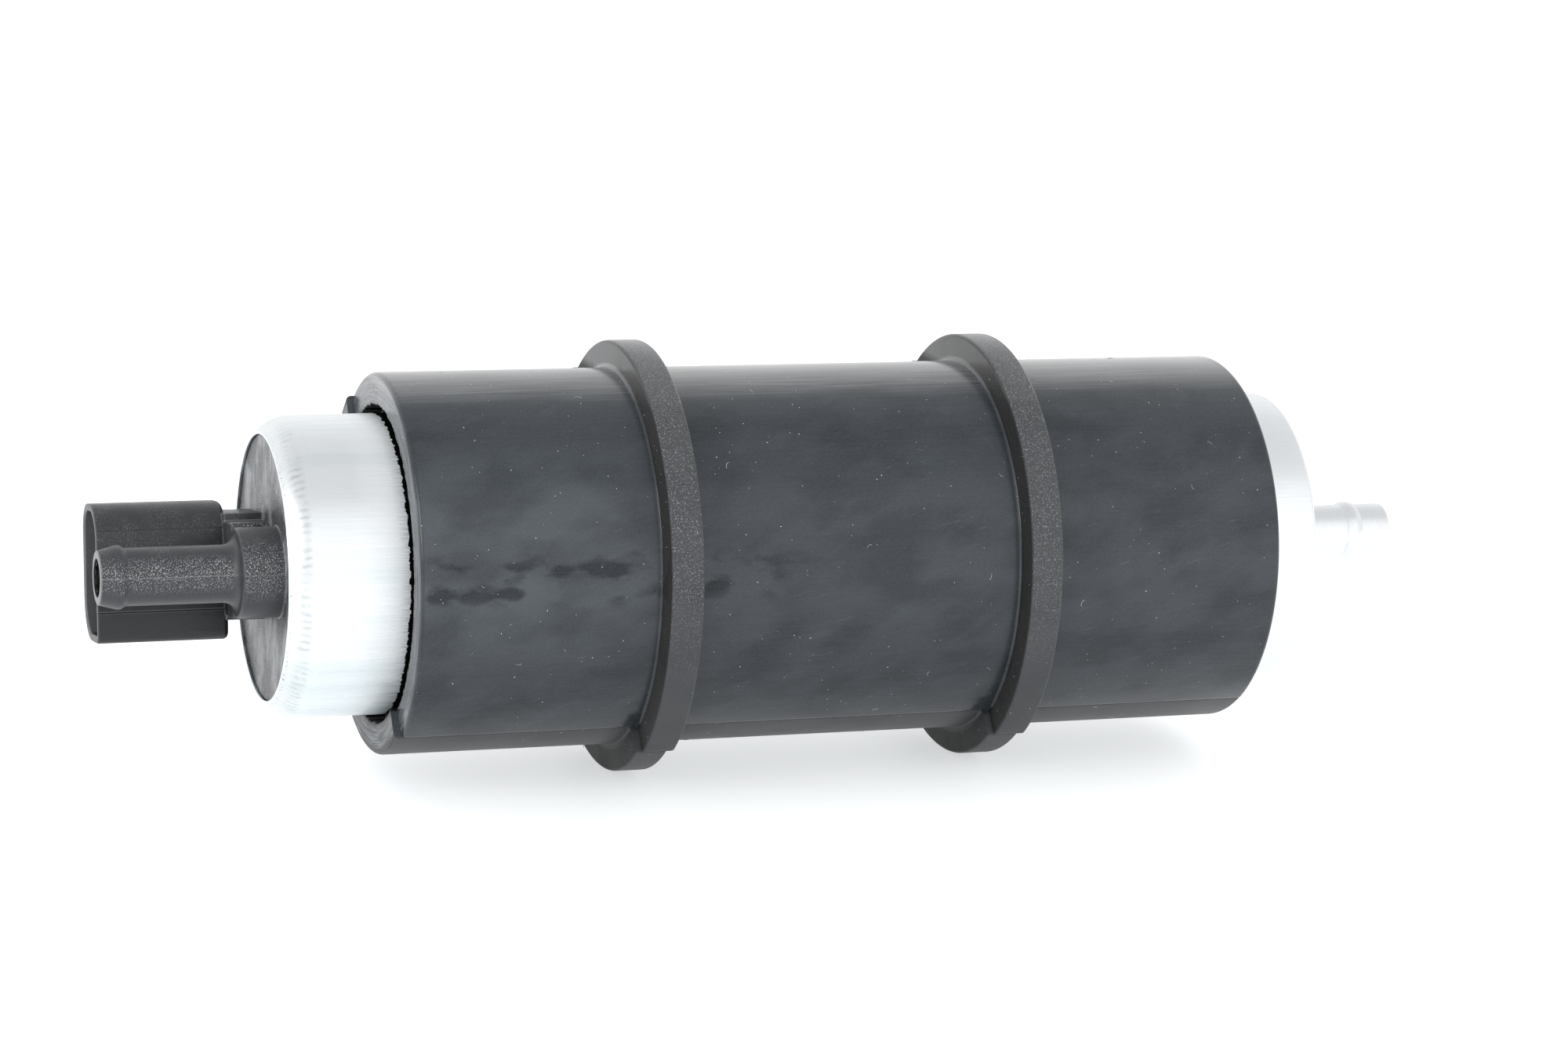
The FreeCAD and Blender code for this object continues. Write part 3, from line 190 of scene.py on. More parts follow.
class Surface(Wiring):
    """A material under construction: its shader, its colour so far and the piece's coordinates."""

    def __init__(self, name: str, base: str) -> None:
        """Make the material.

        Args:
            name: The material's name.
            base: The colour that the layers are laid on.
        """
        self.material = bpy.data.materials.new(name)
        self.material.use_nodes = True
        super().__init__(self.material.node_tree)
        self.tree.nodes.clear()
        self.shader = self.add("ShaderNodeBsdfPrincipled")
        self.output = self.add("ShaderNodeOutputMaterial", {"Surface": self.shader.outputs["BSDF"]})
        self.where = self.add("ShaderNodeTexCoord").outputs["Object"]
        self.axes = self.add("ShaderNodeSeparateXYZ", {"Vector": self.where}).outputs
        self.tone: Socket | Colour = paint(base)
        self.set(Base_Color=self.tone)

    def noise(
        self, size: float, low: float, high: float, stretch: Point = (1.0, 1.0, 1.0),
        detail: float = 3.0, turn: float = 0.0, where: Optional[Socket] = None
    ) -> Socket:
        """Draw noise on the piece and cut it to a mask.

        Args:
            size: Size of the noise, in millimetres.
            low: Noise at which the mask is 0.
            high: Noise at which the mask is 1.
            stretch: How many times longer it is along x, y and z.
            detail: How many finer noises are added.
            turn: Degrees by which it is turned about the y axis.
            where: The coordinates, in metres; the piece's own ones where none are given.

        Returns:
            The mask, from 0 to 1.
        """
        turned = self.add("ShaderNodeMapping", {
            "Vector": self.where if where is None else where,
            "Rotation": (0.0, math.radians(turn), 0.0),
        })
        placed = self.add("ShaderNodeVectorMath", {
            0: turned.outputs["Vector"], 1: [1.0 / (size * MM * times) for times in stretch],
        }, operation="MULTIPLY")
        drawn = self.add("ShaderNodeTexNoise", {
            "Vector": placed.outputs["Vector"], "Scale": 1.0, "Detail": detail,
        })
        return self.ramp(drawn.outputs["Fac"], low, high)

    def band(self, value: Socket, span: Pair) -> Socket:
        """Turn a length in metres into a mask over a span in millimetres."""
        return self.ramp(value, span[0] * MM, span[1] * MM)

    def near(self, value: Socket, place: float, half: float, core: float = 0.4) -> Socket:
        """Mask a narrow band about one place, soft at both sides.

        Args:
            value: A length in metres.
            place: The band's middle, in millimetres.
            half: Half its width, in millimetres.
            core: The share of its width that is masked fully.

        Returns:
            The mask, from 0 to 1.
        """
        away = self.calculate("ABSOLUTE", self.calculate("SUBTRACT", value, place * MM))
        return self.band(away, (half, half * core))

    def dot(self, vector: Socket, direction: Socket | Point) -> Socket:
        """Length of a vector along a direction."""
        return self.add("ShaderNodeVectorMath", {
            0: vector, 1: direction,
        }, operation="DOT_PRODUCT").outputs["Value"]

    def distance(self, across: Value, up: Value) -> Socket:
        """Length that two lengths at right angles give."""
        flat = self.add("ShaderNodeCombineXYZ", {"Y": across, "Z": up}).outputs["Vector"]
        return self.add("ShaderNodeVectorMath", {0: flat}, operation="LENGTH").outputs["Value"]

    def radius(self) -> Socket:
        """Distance from the pump's axis, in metres."""
        return self.distance(self.axes["Y"], self.axes["Z"])

    def facing(self, direction: Point, low: float, high: float) -> Socket:
        """Mask of the faces that look one way.

        Args:
            direction: The way, of length 1.
            low: Cosine to that way at which the mask is 0.
            high: Cosine at which the mask is 1.

        Returns:
            The mask, from 0 to 1.
        """
        normal = self.add("ShaderNodeTexCoord").outputs["Normal"]
        return self.ramp(self.dot(normal, direction), low, high)

    def edge_highlights(self, radius: float, dull: float = 0.99, bright: float = 0.93) -> Socket:
        """Mask of the sharp edges, for a highlight painted along them.

        Args:
            radius: How far the highlight reaches from an edge, in millimetres.
            dull: Cosine between the real and the rounded surface at which none of it shows.
            bright: Cosine at which all of it shows.

        Returns:
            The mask, from 0 to 1.
        """
        soft = self.add("ShaderNodeBevel", {"Radius": radius * MM}, samples=6).outputs["Normal"]
        sharp = self.add("ShaderNodeNewGeometry").outputs["Normal"]
        return self.ramp(self.dot(soft, sharp), dull, bright)

    def bars(self, pitch: float, radius: float, wobble: float = 5.0) -> Socket:
        """Mask of bars that lie along the axis, side by side round the pump.

        Args:
            pitch: From bar to bar, in millimetres.
            radius: Where the pitch is measured.
            wobble: How far noise shifts them, in radians of one bar's wave.

        Returns:
            The mask, from 0 to 1.
        """
        angle = self.calculate("ARCTAN2", self.axes["Y"], self.axes["Z"])
        shift = self.all_of(self.noise(3.0, 0.2, 0.8), wobble)
        turn = self.calculate("MULTIPLY_ADD", angle, math.tau * radius / pitch, shift)
        return self.ramp(self.calculate("SINE", turn), -0.2, 0.5)

    def rings(self, slow: float = 0.05) -> Socket:
        """Coordinates that change fast off the axis and slowly round it.

        Args:
            slow: How fast they change round the axis, against 1 off it.

        Returns:
            The coordinates, in metres.
        """
        return self.add("ShaderNodeCombineXYZ", {
            "X": self.radius(),
            "Y": self.all_of(self.axes["Y"], slow),
            "Z": self.all_of(self.axes["Z"], slow),
        }).outputs["Vector"]

    def layer(self, code: str, *masks: Value) -> None:
        """Lay a colour over those so far.

        Args:
            code: The colour's hex digits.
            masks: Masks of where it lies, and last its share where that isn't all.
        """
        self.tone = self.add("ShaderNodeMix", {
            0: self.all_of(*masks), MIX_A: self.tone, MIX_B: paint(code),
        }, data_type="RGBA").outputs[MIX_RESULT]
        self.drive("Base Color", self.tone)

    def drive(self, name: str, value: Socket) -> None:
        """Let a socket give one of the shader's values."""
        self.tree.links.new(value, self.shader.inputs[name])

    def vary(self, name: str, mask: Socket, low: float, high: float) -> None:
        """Let one of the shader's values follow a mask, between low and high."""
        self.drive(name, self.ramp(mask, 0.0, 1.0, low, high))

    def relief(self, *heights: tuple[Socket, float]) -> None:
        """Give the surface bumps.

        Args:
            heights: Height maps from 0 to 1, each with its depth in millimetres.
        """
        below = {}
        for height, depth in heights:
            bump = self.add("ShaderNodeBump", {
                "Height": height, "Distance": depth * MM, "Strength": 1.0, **below,
            })
            below = {"Normal": bump.outputs["Normal"]}
        self.drive("Normal", below["Normal"])

    def set(self, **values: float | Colour) -> None:
        """Set plain shader values, by input name with underscores."""
        for name, value in values.items():
            self.shader.inputs[name.replace("_", " ")].default_value = value


@dataclass(frozen=True)
class MouldedRubber:
    """EPDM rubber from a steel mould: satin on the barrel, dull and grained on the ribs.

    The satin barrel gives the eye one thin bright line along its top, and the blotches, hair
    scratches and grey rubbed left end tell it that this is rubber that was drawn out of a mould.
    Light and shade are painted into its colour too: a lighter band where the barrel faces the
    camera, lighter still near the mouth; pale streaks along the crown and sparkle on the ribs'
    upper sides as painted highlights; and painted shade on the ribs' left flanks, along the end
    face's outer edge and inside the mouth.
    """

    name: str = "epdm_rubber_moulded"
    colour: str = "2b3239"
    smudge: str = "202428"
    # Lighter tone: painted highlight where the barrel faces the camera, and real streaks and rubs.
    highlight_and_rubs: str = "40474e"
    # Painted highlight near the mouth, where the barrel faces the camera.
    mouth_highlight: str = "565d64"
    rib: str = "484a4d"
    # Near-black painted shade on the ribs' left flanks and along the end face's outer edge.
    flank_shade: str = "0c0d0e"
    lower: str = "424243"
    # Pale lint, grit and rubbing, and painted highlight along the crown and on the ribs' upper
    # sides.
    chalk_and_sheen: str = "8f9296"
    # Near-black for the parting line, and painted shade inside the mouth.
    gap: str = "141516"
    parting: float = 50.0
    seam_half: float = 0.32
    rib_foot: Pair = (27.7, 28.2)
    rib_side: Pair = (27.4, 27.6)
    upper_side: Pair = (-14.0, 2.0)
    crown_line: Pair = (25.0, 26.4)
    towards_mouth: Pair = (-24.0, -40.0)
    waist_height: float = 3.5
    waist_half: float = 5.0
    waist_reach: Pair = (0.0, -20.0)
    end_face: Pair = (-63.65, -63.9)
    end_rim: Pair = (26.25, 26.45)
    mouth_wall: Pair = (23.05, 22.95)
    mouth_reach: Pair = (-59.8, -59.9)
    mouth_jag: float = 0.45

    def build(self) -> Material:
        """Make the rubber, with blotches, scratches, a rubbed left end and the parting line,
        and with painted highlights and painted shade.

        Returns:
            The material.
        """
        made = Surface(self.name, self.colour)
        along, rise, radius = made.axes["X"], made.axes["Z"], made.radius()
        lean = math.radians(self.parting)
        up, down = (
            (0.0, -sign * math.sin(lean), sign * math.cos(lean)) for sign in (1, -1)
        )
        height = made.dot(made.where, up)
        on_rib, off_rib = made.band(radius, self.rib_foot), made.band(radius, self.rib_foot[::-1])
        shaded_side = made.all_of(made.band(radius, self.rib_side), made.facing(LEFT, 0.45, 0.85))
        below = made.band(height, (0.0, -0.1))
        upper = made.band(rise, self.upper_side)
        crown = made.band(rise, self.crown_line)
        # Faces toward the camera, which get a painted highlight.
        front = made.facing(FRONT, 0.80, 0.98)
        near_mouth = made.band(along, self.towards_mouth)
        waist = made.all_of(
            made.near(rise, self.waist_height, self.waist_half), made.band(along, self.waist_reach)
        )
        end = made.all_of(made.band(along, self.end_face), made.facing(LEFT, 0.4, 0.7))
        # Along the end face's outer edge, which gets painted shade.
        rim = made.all_of(end, made.band(radius, self.end_rim))
        wall = made.calculate("MAXIMUM", made.facing(up, 0.3, 0.6), made.facing(down, 0.3, 0.6))
        seam = made.all_of(
            made.near(height, 0.0, self.seam_half), made.ramp(wall, 0.6, 0.2), off_rib
        )
        cloud = made.noise(7.0, 0.44, 0.64, (1.8, 1.0, 1.0), 5.0, turn=12.0)
        wipe = made.noise(2.2, 0.54, 0.70, (7.0, 1.0, 1.0), 5.0, turn=34.0)
        stain = made.all_of(made.noise(3.4, 0.49, 0.60, (2.2, 1.0, 1.0), 8.0), waist)
        streak = made.noise(0.22, 0.40, 0.75, (60.0, 1.0, 1.0), 2.0)
        hair = made.noise(0.30, 0.72, 0.80, (40.0, 1.0, 1.0), 1.0, turn=16.0)
        grit = made.noise(0.30, 0.3, 0.7, detail=2.0)
        spark = made.noise(0.16, 0.62, 0.72, detail=0.0)
        rub = made.noise(0.28, 0.42, 0.66, where=made.rings())
        notch = made.noise(3.0, 0.30, 0.45)
        torn = made.noise(0.8, 0.35, 0.65)
        ragged = made.calculate("MULTIPLY_ADD", torn, -self.mouth_jag * MM, radius)
        # The mouth's inner wall, which gets painted shade.
        inside = made.all_of(made.band(ragged, self.mouth_wall), made.band(along, self.mouth_reach))
        # Painted highlight: lighter where the barrel faces the camera, more so near the mouth.
        made.layer(self.highlight_and_rubs, front, 0.45)
        made.layer(self.mouth_highlight, front, near_mouth, 0.5)
        made.layer(self.smudge, cloud, 0.42)
        made.layer(self.smudge, stain, 0.75)
        made.layer(self.highlight_and_rubs, streak, off_rib, 0.25)
        made.layer(self.highlight_and_rubs, wipe, off_rib, 0.35)
        made.layer(self.chalk_and_sheen, hair, off_rib, 0.16)
        made.layer(self.chalk_and_sheen, grit, off_rib, 0.06)
        # Pale streaks along the crown, laid as a painted highlight along the top.
        made.layer(self.chalk_and_sheen, streak, off_rib, crown, 0.45)
        made.layer(self.lower, below, 0.8)
        made.layer(self.rib, on_rib)
        # Sparkle of the ribs' grain on their upper side only: partly a painted highlight.
        made.layer(self.chalk_and_sheen, on_rib, spark, upper, 0.8)
        # Painted shade on the ribs' left flanks.
        made.layer(self.flank_shade, shaded_side)
        made.layer(self.chalk_and_sheen, rub, end, 0.8)
        # Painted shade along the end face's outer edge.
        made.layer(self.flank_shade, rim, 0.8)
        # Painted shade inside the mouth.
        made.layer(self.gap, inside)
        made.layer(self.gap, seam, notch)
        dull = made.calculate("MAXIMUM", on_rib, made.all_of(below, 0.7))
        dark = made.calculate("MAXIMUM", made.all_of(cloud, 0.5), stain)
        made.vary("Roughness", dull, 0.22, 0.60)
        made.vary("Specular IOR Level", dark, 0.52, 0.22)
        made.vary("Coat Weight", crown, 0.0, 0.6)
        made.relief((streak, 0.003), (made.all_of(grit, on_rib), 0.03))
        made.set(IOR=1.5, Sheen_Weight=0.14, Sheen_Roughness=0.4, Coat_Roughness=0.2)
        return made.material


@dataclass(frozen=True)
class MouldedNylon:
    """Glass-filled PA66, injection moulded: charcoal with pale sparkle, and painted light and shade.

    The clustered sparkle reads as glass fibres at the surface, and the cloudy disc as a face
    that the gate and the mould's vents have left uneven. Light and shade are painted too: the
    lower half is darker as painted shade, and sparkle shows only on the upper half and is
    stronger where the barb faces the camera as painted highlight; sharp edges are painted
    lighter as highlights, and the panel's edges and the barb's bore are painted dark as shade.
    """

    name: str = "pa66_glass_filled_moulded"
    # The lower half keeps this darker colour as painted shade; the upper half gets the next one.
    low: str = "17191c"
    colour: str = "2f3135"
    barb: str = "36393d"
    cavity: str = "5c5e60"
    # Pale sparkle of glass fibres, and painted highlight where it is laid on faces toward the
    # camera.
    fibre_and_glint: str = "d2d4d7"
    # Pale grey for the disc's smears, and as a painted highlight along the sharp edges.
    smear: str = "a9abaf"
    # Near-black, painted as shade along the panel's edges and inside the barb's bore.
    seam: str = "121315"
    turn: float = 10.0
    barb_side: Pair = (-0.5, -1.5)
    barb_depth: float = -9.13
    bore_wall: Pair = (2.8, 2.7)
    bore_reach: Pair = (-80.0, -81.0)
    socket_depth: Pair = (6.5, 8.5)
    socket_reach: Pair = (-86.8, -87.2)
    disc_face: Pair = (-80.25, -80.1)
    barb_tip: Pair = (-104.95, -105.15)
    panel_edges: Pair = (-5.8, 5.8)
    edge_half: float = 0.13
    panel_face: float = 0.6
    panel_half: float = 0.5
    # How far the painted edge highlight reaches, in millimetres.
    edge_light_reach: float = 0.3

    def build(self) -> Material:
        """Make the plastic, with sparkle, the disc's cloudy smears, and painted light and shade:
        highlights on the edges and the barb's front, and shade below, at the panel's edges and in
        the bore.

        Returns:
            The material.
        """
        made = Surface(self.name, self.low)
        along = made.axes["X"]
        lean = math.radians(self.turn)
        height = made.dot(made.where, (0.0, math.sin(lean), math.cos(lean)))
        depth = made.dot(made.where, (0.0, math.cos(lean), -math.sin(lean)))
        off_barb = made.calculate("SUBTRACT", depth, self.barb_depth * MM)
        around = made.distance(height, off_barb)
        bored = made.all_of(made.band(around, self.bore_wall), made.band(along, self.bore_reach))
        hollow = made.all_of(
            made.band(depth, self.socket_depth), made.facing(FRONT, 0.1, 0.3),
            made.band(along, self.socket_reach),
        )
        upper = made.band(height, (-0.3, 0.3))
        on_disc, off_disc = made.band(along, self.disc_face), made.band(along, self.disc_face[::-1])
        on_barb = made.all_of(made.band(depth, self.barb_side), off_disc)
        tip = made.band(along, self.barb_tip)
        lit = made.facing(FRONT, 0.72, 0.98)
        edge_glint = made.edge_highlights(self.edge_light_reach)
        spark = made.noise(0.15, 0.58, 0.70, detail=0.0)
        cluster = made.noise(3.2, 0.40, 0.58)
        patch = made.noise(4.5, 0.42, 0.56, (1.0, 1.0, 1.5), 4.0)
        smear = made.noise(0.45, 0.25, 0.60, (1.0, 1.0, 6.0), 4.0)
        grit = made.noise(0.22, 0.3, 0.7, detail=2.0)
        panel = made.all_of(made.near(depth, self.panel_face, self.panel_half), off_disc)
        # Painted shade: only the upper half gets the lighter colour, the lower half stays darker.
        made.layer(self.colour, upper)
        made.layer(self.barb, on_barb)
        made.layer(self.cavity, hollow)
        # Painted highlight: sparkle stronger where the barb faces the camera.
        made.layer(self.fibre_and_glint, spark, lit, on_barb, 0.55)
        # Sparkle on the upper half only: real fibres, with the lower half left dark as painted
        # shade.
        made.layer(self.fibre_and_glint, spark, cluster, upper, off_disc, 0.14)
        made.layer(self.smear, smear, patch, on_disc, 0.7)
        made.layer(self.fibre_and_glint, spark, on_disc, 0.25)
        # Painted highlight along the sharp edges.
        made.layer(self.smear, edge_glint, off_disc, 0.55)
        made.layer(self.fibre_and_glint, tip, 0.25)
        # Painted shade along the panel's edges.
        for edge in self.panel_edges:
            made.layer(self.seam, made.near(height, edge, self.edge_half), panel, 0.8)
        # Painted shade inside the barb's bore.
        made.layer(self.seam, bored)
        made.vary("Roughness", grit, 0.28, 0.48)
        made.relief((grit, 0.010), (spark, 0.006))
        made.set(IOR=1.53)
        return made.material


@dataclass(frozen=True)
class DrawnAluminium:
    """Deep-drawn aluminium, brushed along its axis, with a scuffed ring at the rolled edge.

    Long fine streaks give the eye the drawing direction, the grey ring shows where the tool
    rolled the edge in, and the dark scratches where the rubber was pushed on. Pale bluish
    stripes on the left part are a painted reflection, and a jagged black line where the can
    goes under the sleeve is painted shadow.
    """

    name: str = "aluminium_drawn_brushed"
    colour: str = "f5f9fb"
    shade: str = "d6dee2"
    # Pale bluish stripes painted as a reflection on the left part.
    reflection_tint: str = "dde8eb"
    scuff: str = "c0c2c3"
    scratch: str = "87929a"
    tick: str = "3a3c3e"
    # Near-black painted shadow where the can goes under the sleeve's lip.
    lip_shadow: str = "0e0f10"
    radius: float = 20.9
    bar_pitch: float = 1.1
    ring_x: float = -78.4
    ring_half: float = 1.2
    rim_x: float = -80.2
    rim_half: float = 0.22
    left_part: Pair = (-40.0, -50.0)
    near_side: Pair = (2.0, -12.0)
    low_side: Pair = (-6.0, -17.0)
    haze: Pair = (-70.8, -65.8)
    gap: Pair = (-63.8, -63.74)
    gap_jag: float = 0.35
    close_scratches: Pair = (-65.6, -63.4)
    wide_scratches: Pair = (-69.3, -63.8)

    def build(self) -> Material:
        """Make the metal, with axial streaks, the scuffed ring, scratches at the sleeve, a painted
        reflection and the painted shadow under the sleeve's lip.

        Returns:
            The material.
        """
        made = Surface(self.name, self.colour)
        along = made.axes["X"]
        left = made.band(along, self.left_part)
        front = made.band(made.axes["Y"], self.near_side)
        low = made.band(made.axes["Z"], self.low_side)
        ring = made.all_of(made.near(along, self.ring_x, self.ring_half), front)
        rim = made.all_of(made.near(along, self.rim_x, self.rim_half), front)
        hazed = made.all_of(made.band(along, self.haze), left)
        close = made.all_of(made.band(along, self.close_scratches), left)
        wide = made.all_of(made.band(along, self.wide_scratches), left, low)
        torn = made.noise(0.7, 0.35, 0.65)
        reach = made.calculate("MULTIPLY_ADD", torn, self.gap_jag * MM, along)
        # Where the can goes under the sleeve's lip, which gets painted shadow.
        gap = made.all_of(made.band(reach, self.gap), left)
        streak = made.noise(0.14, 0.34, 0.74, (90.0, 1.0, 1.0), 2.0)
        reflection_bands = made.noise(5.0, 0.46, 0.66, (30.0, 1.0, 1.0))
        blocks = made.bars(self.bar_pitch, self.radius)
        ragged = made.noise(2.4, 0.36, 0.60)
        ticks = made.noise(0.30, 0.60, 0.66, detail=2.0)
        fine = made.noise(0.09, 0.46, 0.60, (26.0, 1.0, 1.0), 2.0)
        long = made.noise(0.13, 0.50, 0.62, (40.0, 1.0, 1.0), 2.0)
        made.layer(self.shade, streak, 0.25)
        # Painted reflection: pale bluish stripes along the left part.
        made.layer(self.reflection_tint, reflection_bands, left, 0.55)
        made.layer(self.scuff, ring, 0.12)
        made.layer(self.scuff, blocks, ragged, ring, 0.55)
        made.layer(self.tick, ticks, rim, 0.8)
        made.layer(self.scratch, long, wide, 0.7)
        made.layer(self.scratch, fine, close, 0.7)
        # Painted shadow under the sleeve's lip.
        made.layer(self.lip_shadow, gap)
        made.vary("Roughness", streak, 0.26, 0.40)
        made.vary("Metallic", hazed, 1.0, 0.25)
        made.vary("Specular IOR Level", gap, 0.5, 0.0)
        made.relief((made.all_of(streak, left), 0.004))
        return made.material


@dataclass(frozen=True)
class CottonLint:
    """Cotton lint and dust: pale, dull threads that show the rubber's surface under them."""

    name: str = "cotton_lint"
    colour: str = "e8eaec"
    shade: str = "a4a7aa"

    def build(self) -> Material:
        """Make the lint, its tone changing from thread to thread.

        Returns:
            The material.
        """
        made = Surface(self.name, self.colour)
        made.layer(self.shade, made.noise(1.5, 0.35, 0.65, detail=1.0))
        made.set(Roughness=0.9)
        return made.material


@dataclass(frozen=True)
class MachinedMetal:
    """A machined, drawn or wound metal with fine marks in one direction.

    The marks stretch each highlight across them, which tells the eye how the metal was worked:
    round a turned nipple, along a drawn wire, across a stack of sheets.
    """

    name: str
    colour: str
    shade: str
    roughness: float = 0.3
    mark: float = 0.18
    stretch: Point = (0.3, 6.0, 6.0)

    def build(self) -> Material:
        """Make the metal, with tool marks that shade its colour and roughness.

        Returns:
            The material.
        """
        made = Surface(self.name, self.colour)
        marks = made.noise(self.mark, 0.3, 0.7, self.stretch, 2.0)
        made.layer(self.shade, marks, 0.5)
        made.vary("Roughness", marks, self.roughness * 0.8, self.roughness * 1.3)
        made.relief((marks, 0.004))
        made.set(Metallic=1.0)
        return made.material


@dataclass(frozen=True)
class PressedSolid:
    """A pressed, sintered or moulded solid with an even grain.

    The grain and its flecks give the eye a dull body with depth, such as ferrite, carbon or
    sintered bronze, and keep it apart from the worked metals beside it.
    """

    name: str
    colour: str
    fleck: str
    roughness: float = 0.6
    grain: float = 0.4

    def build(self) -> Material:
        """Make the solid, with flecks that shade its colour and a fine relief.

        Returns:
            The material.
        """
        made = Surface(self.name, self.colour)
        flecks = made.noise(self.grain, 0.4, 0.7)
        made.layer(self.fleck, flecks, 0.6)
        made.vary("Roughness", flecks, self.roughness * 0.85, self.roughness)
        made.relief((flecks, 0.01))
        return made.material


@dataclass(frozen=True)
class Corner:
    """One corner of a turned profile: its place along and off the axis, and its rounding."""

    x: float
    r: float
    round: float = 0.0


def rounded_profile(corners: Sequence[Corner], closed: bool, steps: int = 6) -> list[Pair]:
    """Round a profile's corners.

    Args:
        corners: The corners, in order.
        closed: Whether the last corner joins the first; if not, both end ones stay sharp.
        steps: Edges in each rounding.

    Returns:
        Points (x, r) in millimetres.
    """
    points = []
    count = len(corners)
    for index, corner in enumerate(corners):
        here = Vector((corner.x, corner.r))
        if not corner.round or (not closed and index in (0, count - 1)):
            points.append((corner.x, corner.r))
            continue
        last, following = corners[index - 1], corners[(index + 1) % count]
        before = Vector((last.x, last.r)) - here
        after = Vector((following.x, following.r)) - here
        half = before.angle(after) / 2
        reach = corner.round / math.tan(half)
        centre = here + (before.normalized() + after.normalized()).normalized() * (
            corner.round / math.sin(half)
        )
        start = here + before.normalized() * reach - centre
        end = here + after.normalized() * reach - centre
        sweep = start.angle_signed(end)
        for step in range(steps + 1):
            spoke = start.copy()
            spoke.rotate(Matrix.Rotation(-sweep * step / steps, 2))
            points.append(tuple(centre + spoke))
    return points


def arc(middle: Pair, radius: float, start: float, end: float, steps: int) -> list[Pair]:
    """Place points along an arc.

    Args:
        middle: The arc's centre.
        radius: Its radius.
        start: Direction of the first point from the centre, in degrees.
        end: Direction of the last point.
        steps: Edges between the two.

    Returns:
        The points, with both ends.
    """
    ways = [math.radians(start + (end - start) * step / steps) for step in range(steps + 1)]
    return [(middle[0] + radius * math.cos(way), middle[1] + radius * math.sin(way)) for way in ways]


def even_angles(count: int) -> list[float]:
    """Angles in degrees, evenly spaced round a full turn."""
    return [360.0 * step / count for step in range(count)]


def place(name: str, data: bpy.types.ID) -> Object:
    """Put a new object in the scene.

    Args:
        name: The object's name.
        data: Its mesh, camera or light.

    Returns:
        The object, at the origin.
    """
    made = bpy.data.objects.new(name, data)
    bpy.context.scene.collection.objects.link(made)
    return made


def smooth(mesh: Mesh, sharp: float, weld: float = 0.0) -> None:
    """Turn a mesh's faces outwards and shade it smooth between its sharp edges.

    Args:
        mesh: The mesh.
        sharp: Edges sharper than this many degrees stay hard.
        weld: Points closer than this, in millimetres, become one.
    """
    work = bmesh.new()
    work.from_mesh(mesh)
    if weld:
        bmesh.ops.remove_doubles(work, verts=work.verts[:], dist=weld * MM)
    bmesh.ops.recalc_face_normals(work, faces=work.faces[:])
    work.to_mesh(mesh)
    work.free()
    mesh.shade_smooth()
    mesh.set_sharp_from_angle(angle=math.radians(sharp))


def report(piece: Object, stands_for: str) -> None:
    """Log what a piece stands for."""
    log.info("%s stands for %s, %d faces", piece.name, stands_for, len(piece.data.polygons))


def dress(piece: Object, slot: Slot, *nodes: str) -> None:
    """Let a piece ride on the pump's housing and stand for its nodes.

    Args:
        piece: The piece.
        slot: The record's slot for its finish; not used.
        nodes: The nodes that it replaces, if any.
    """
    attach(piece, "housing")
    if nodes:
        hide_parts(*nodes)
    report(piece, ", ".join(nodes) or "no node")


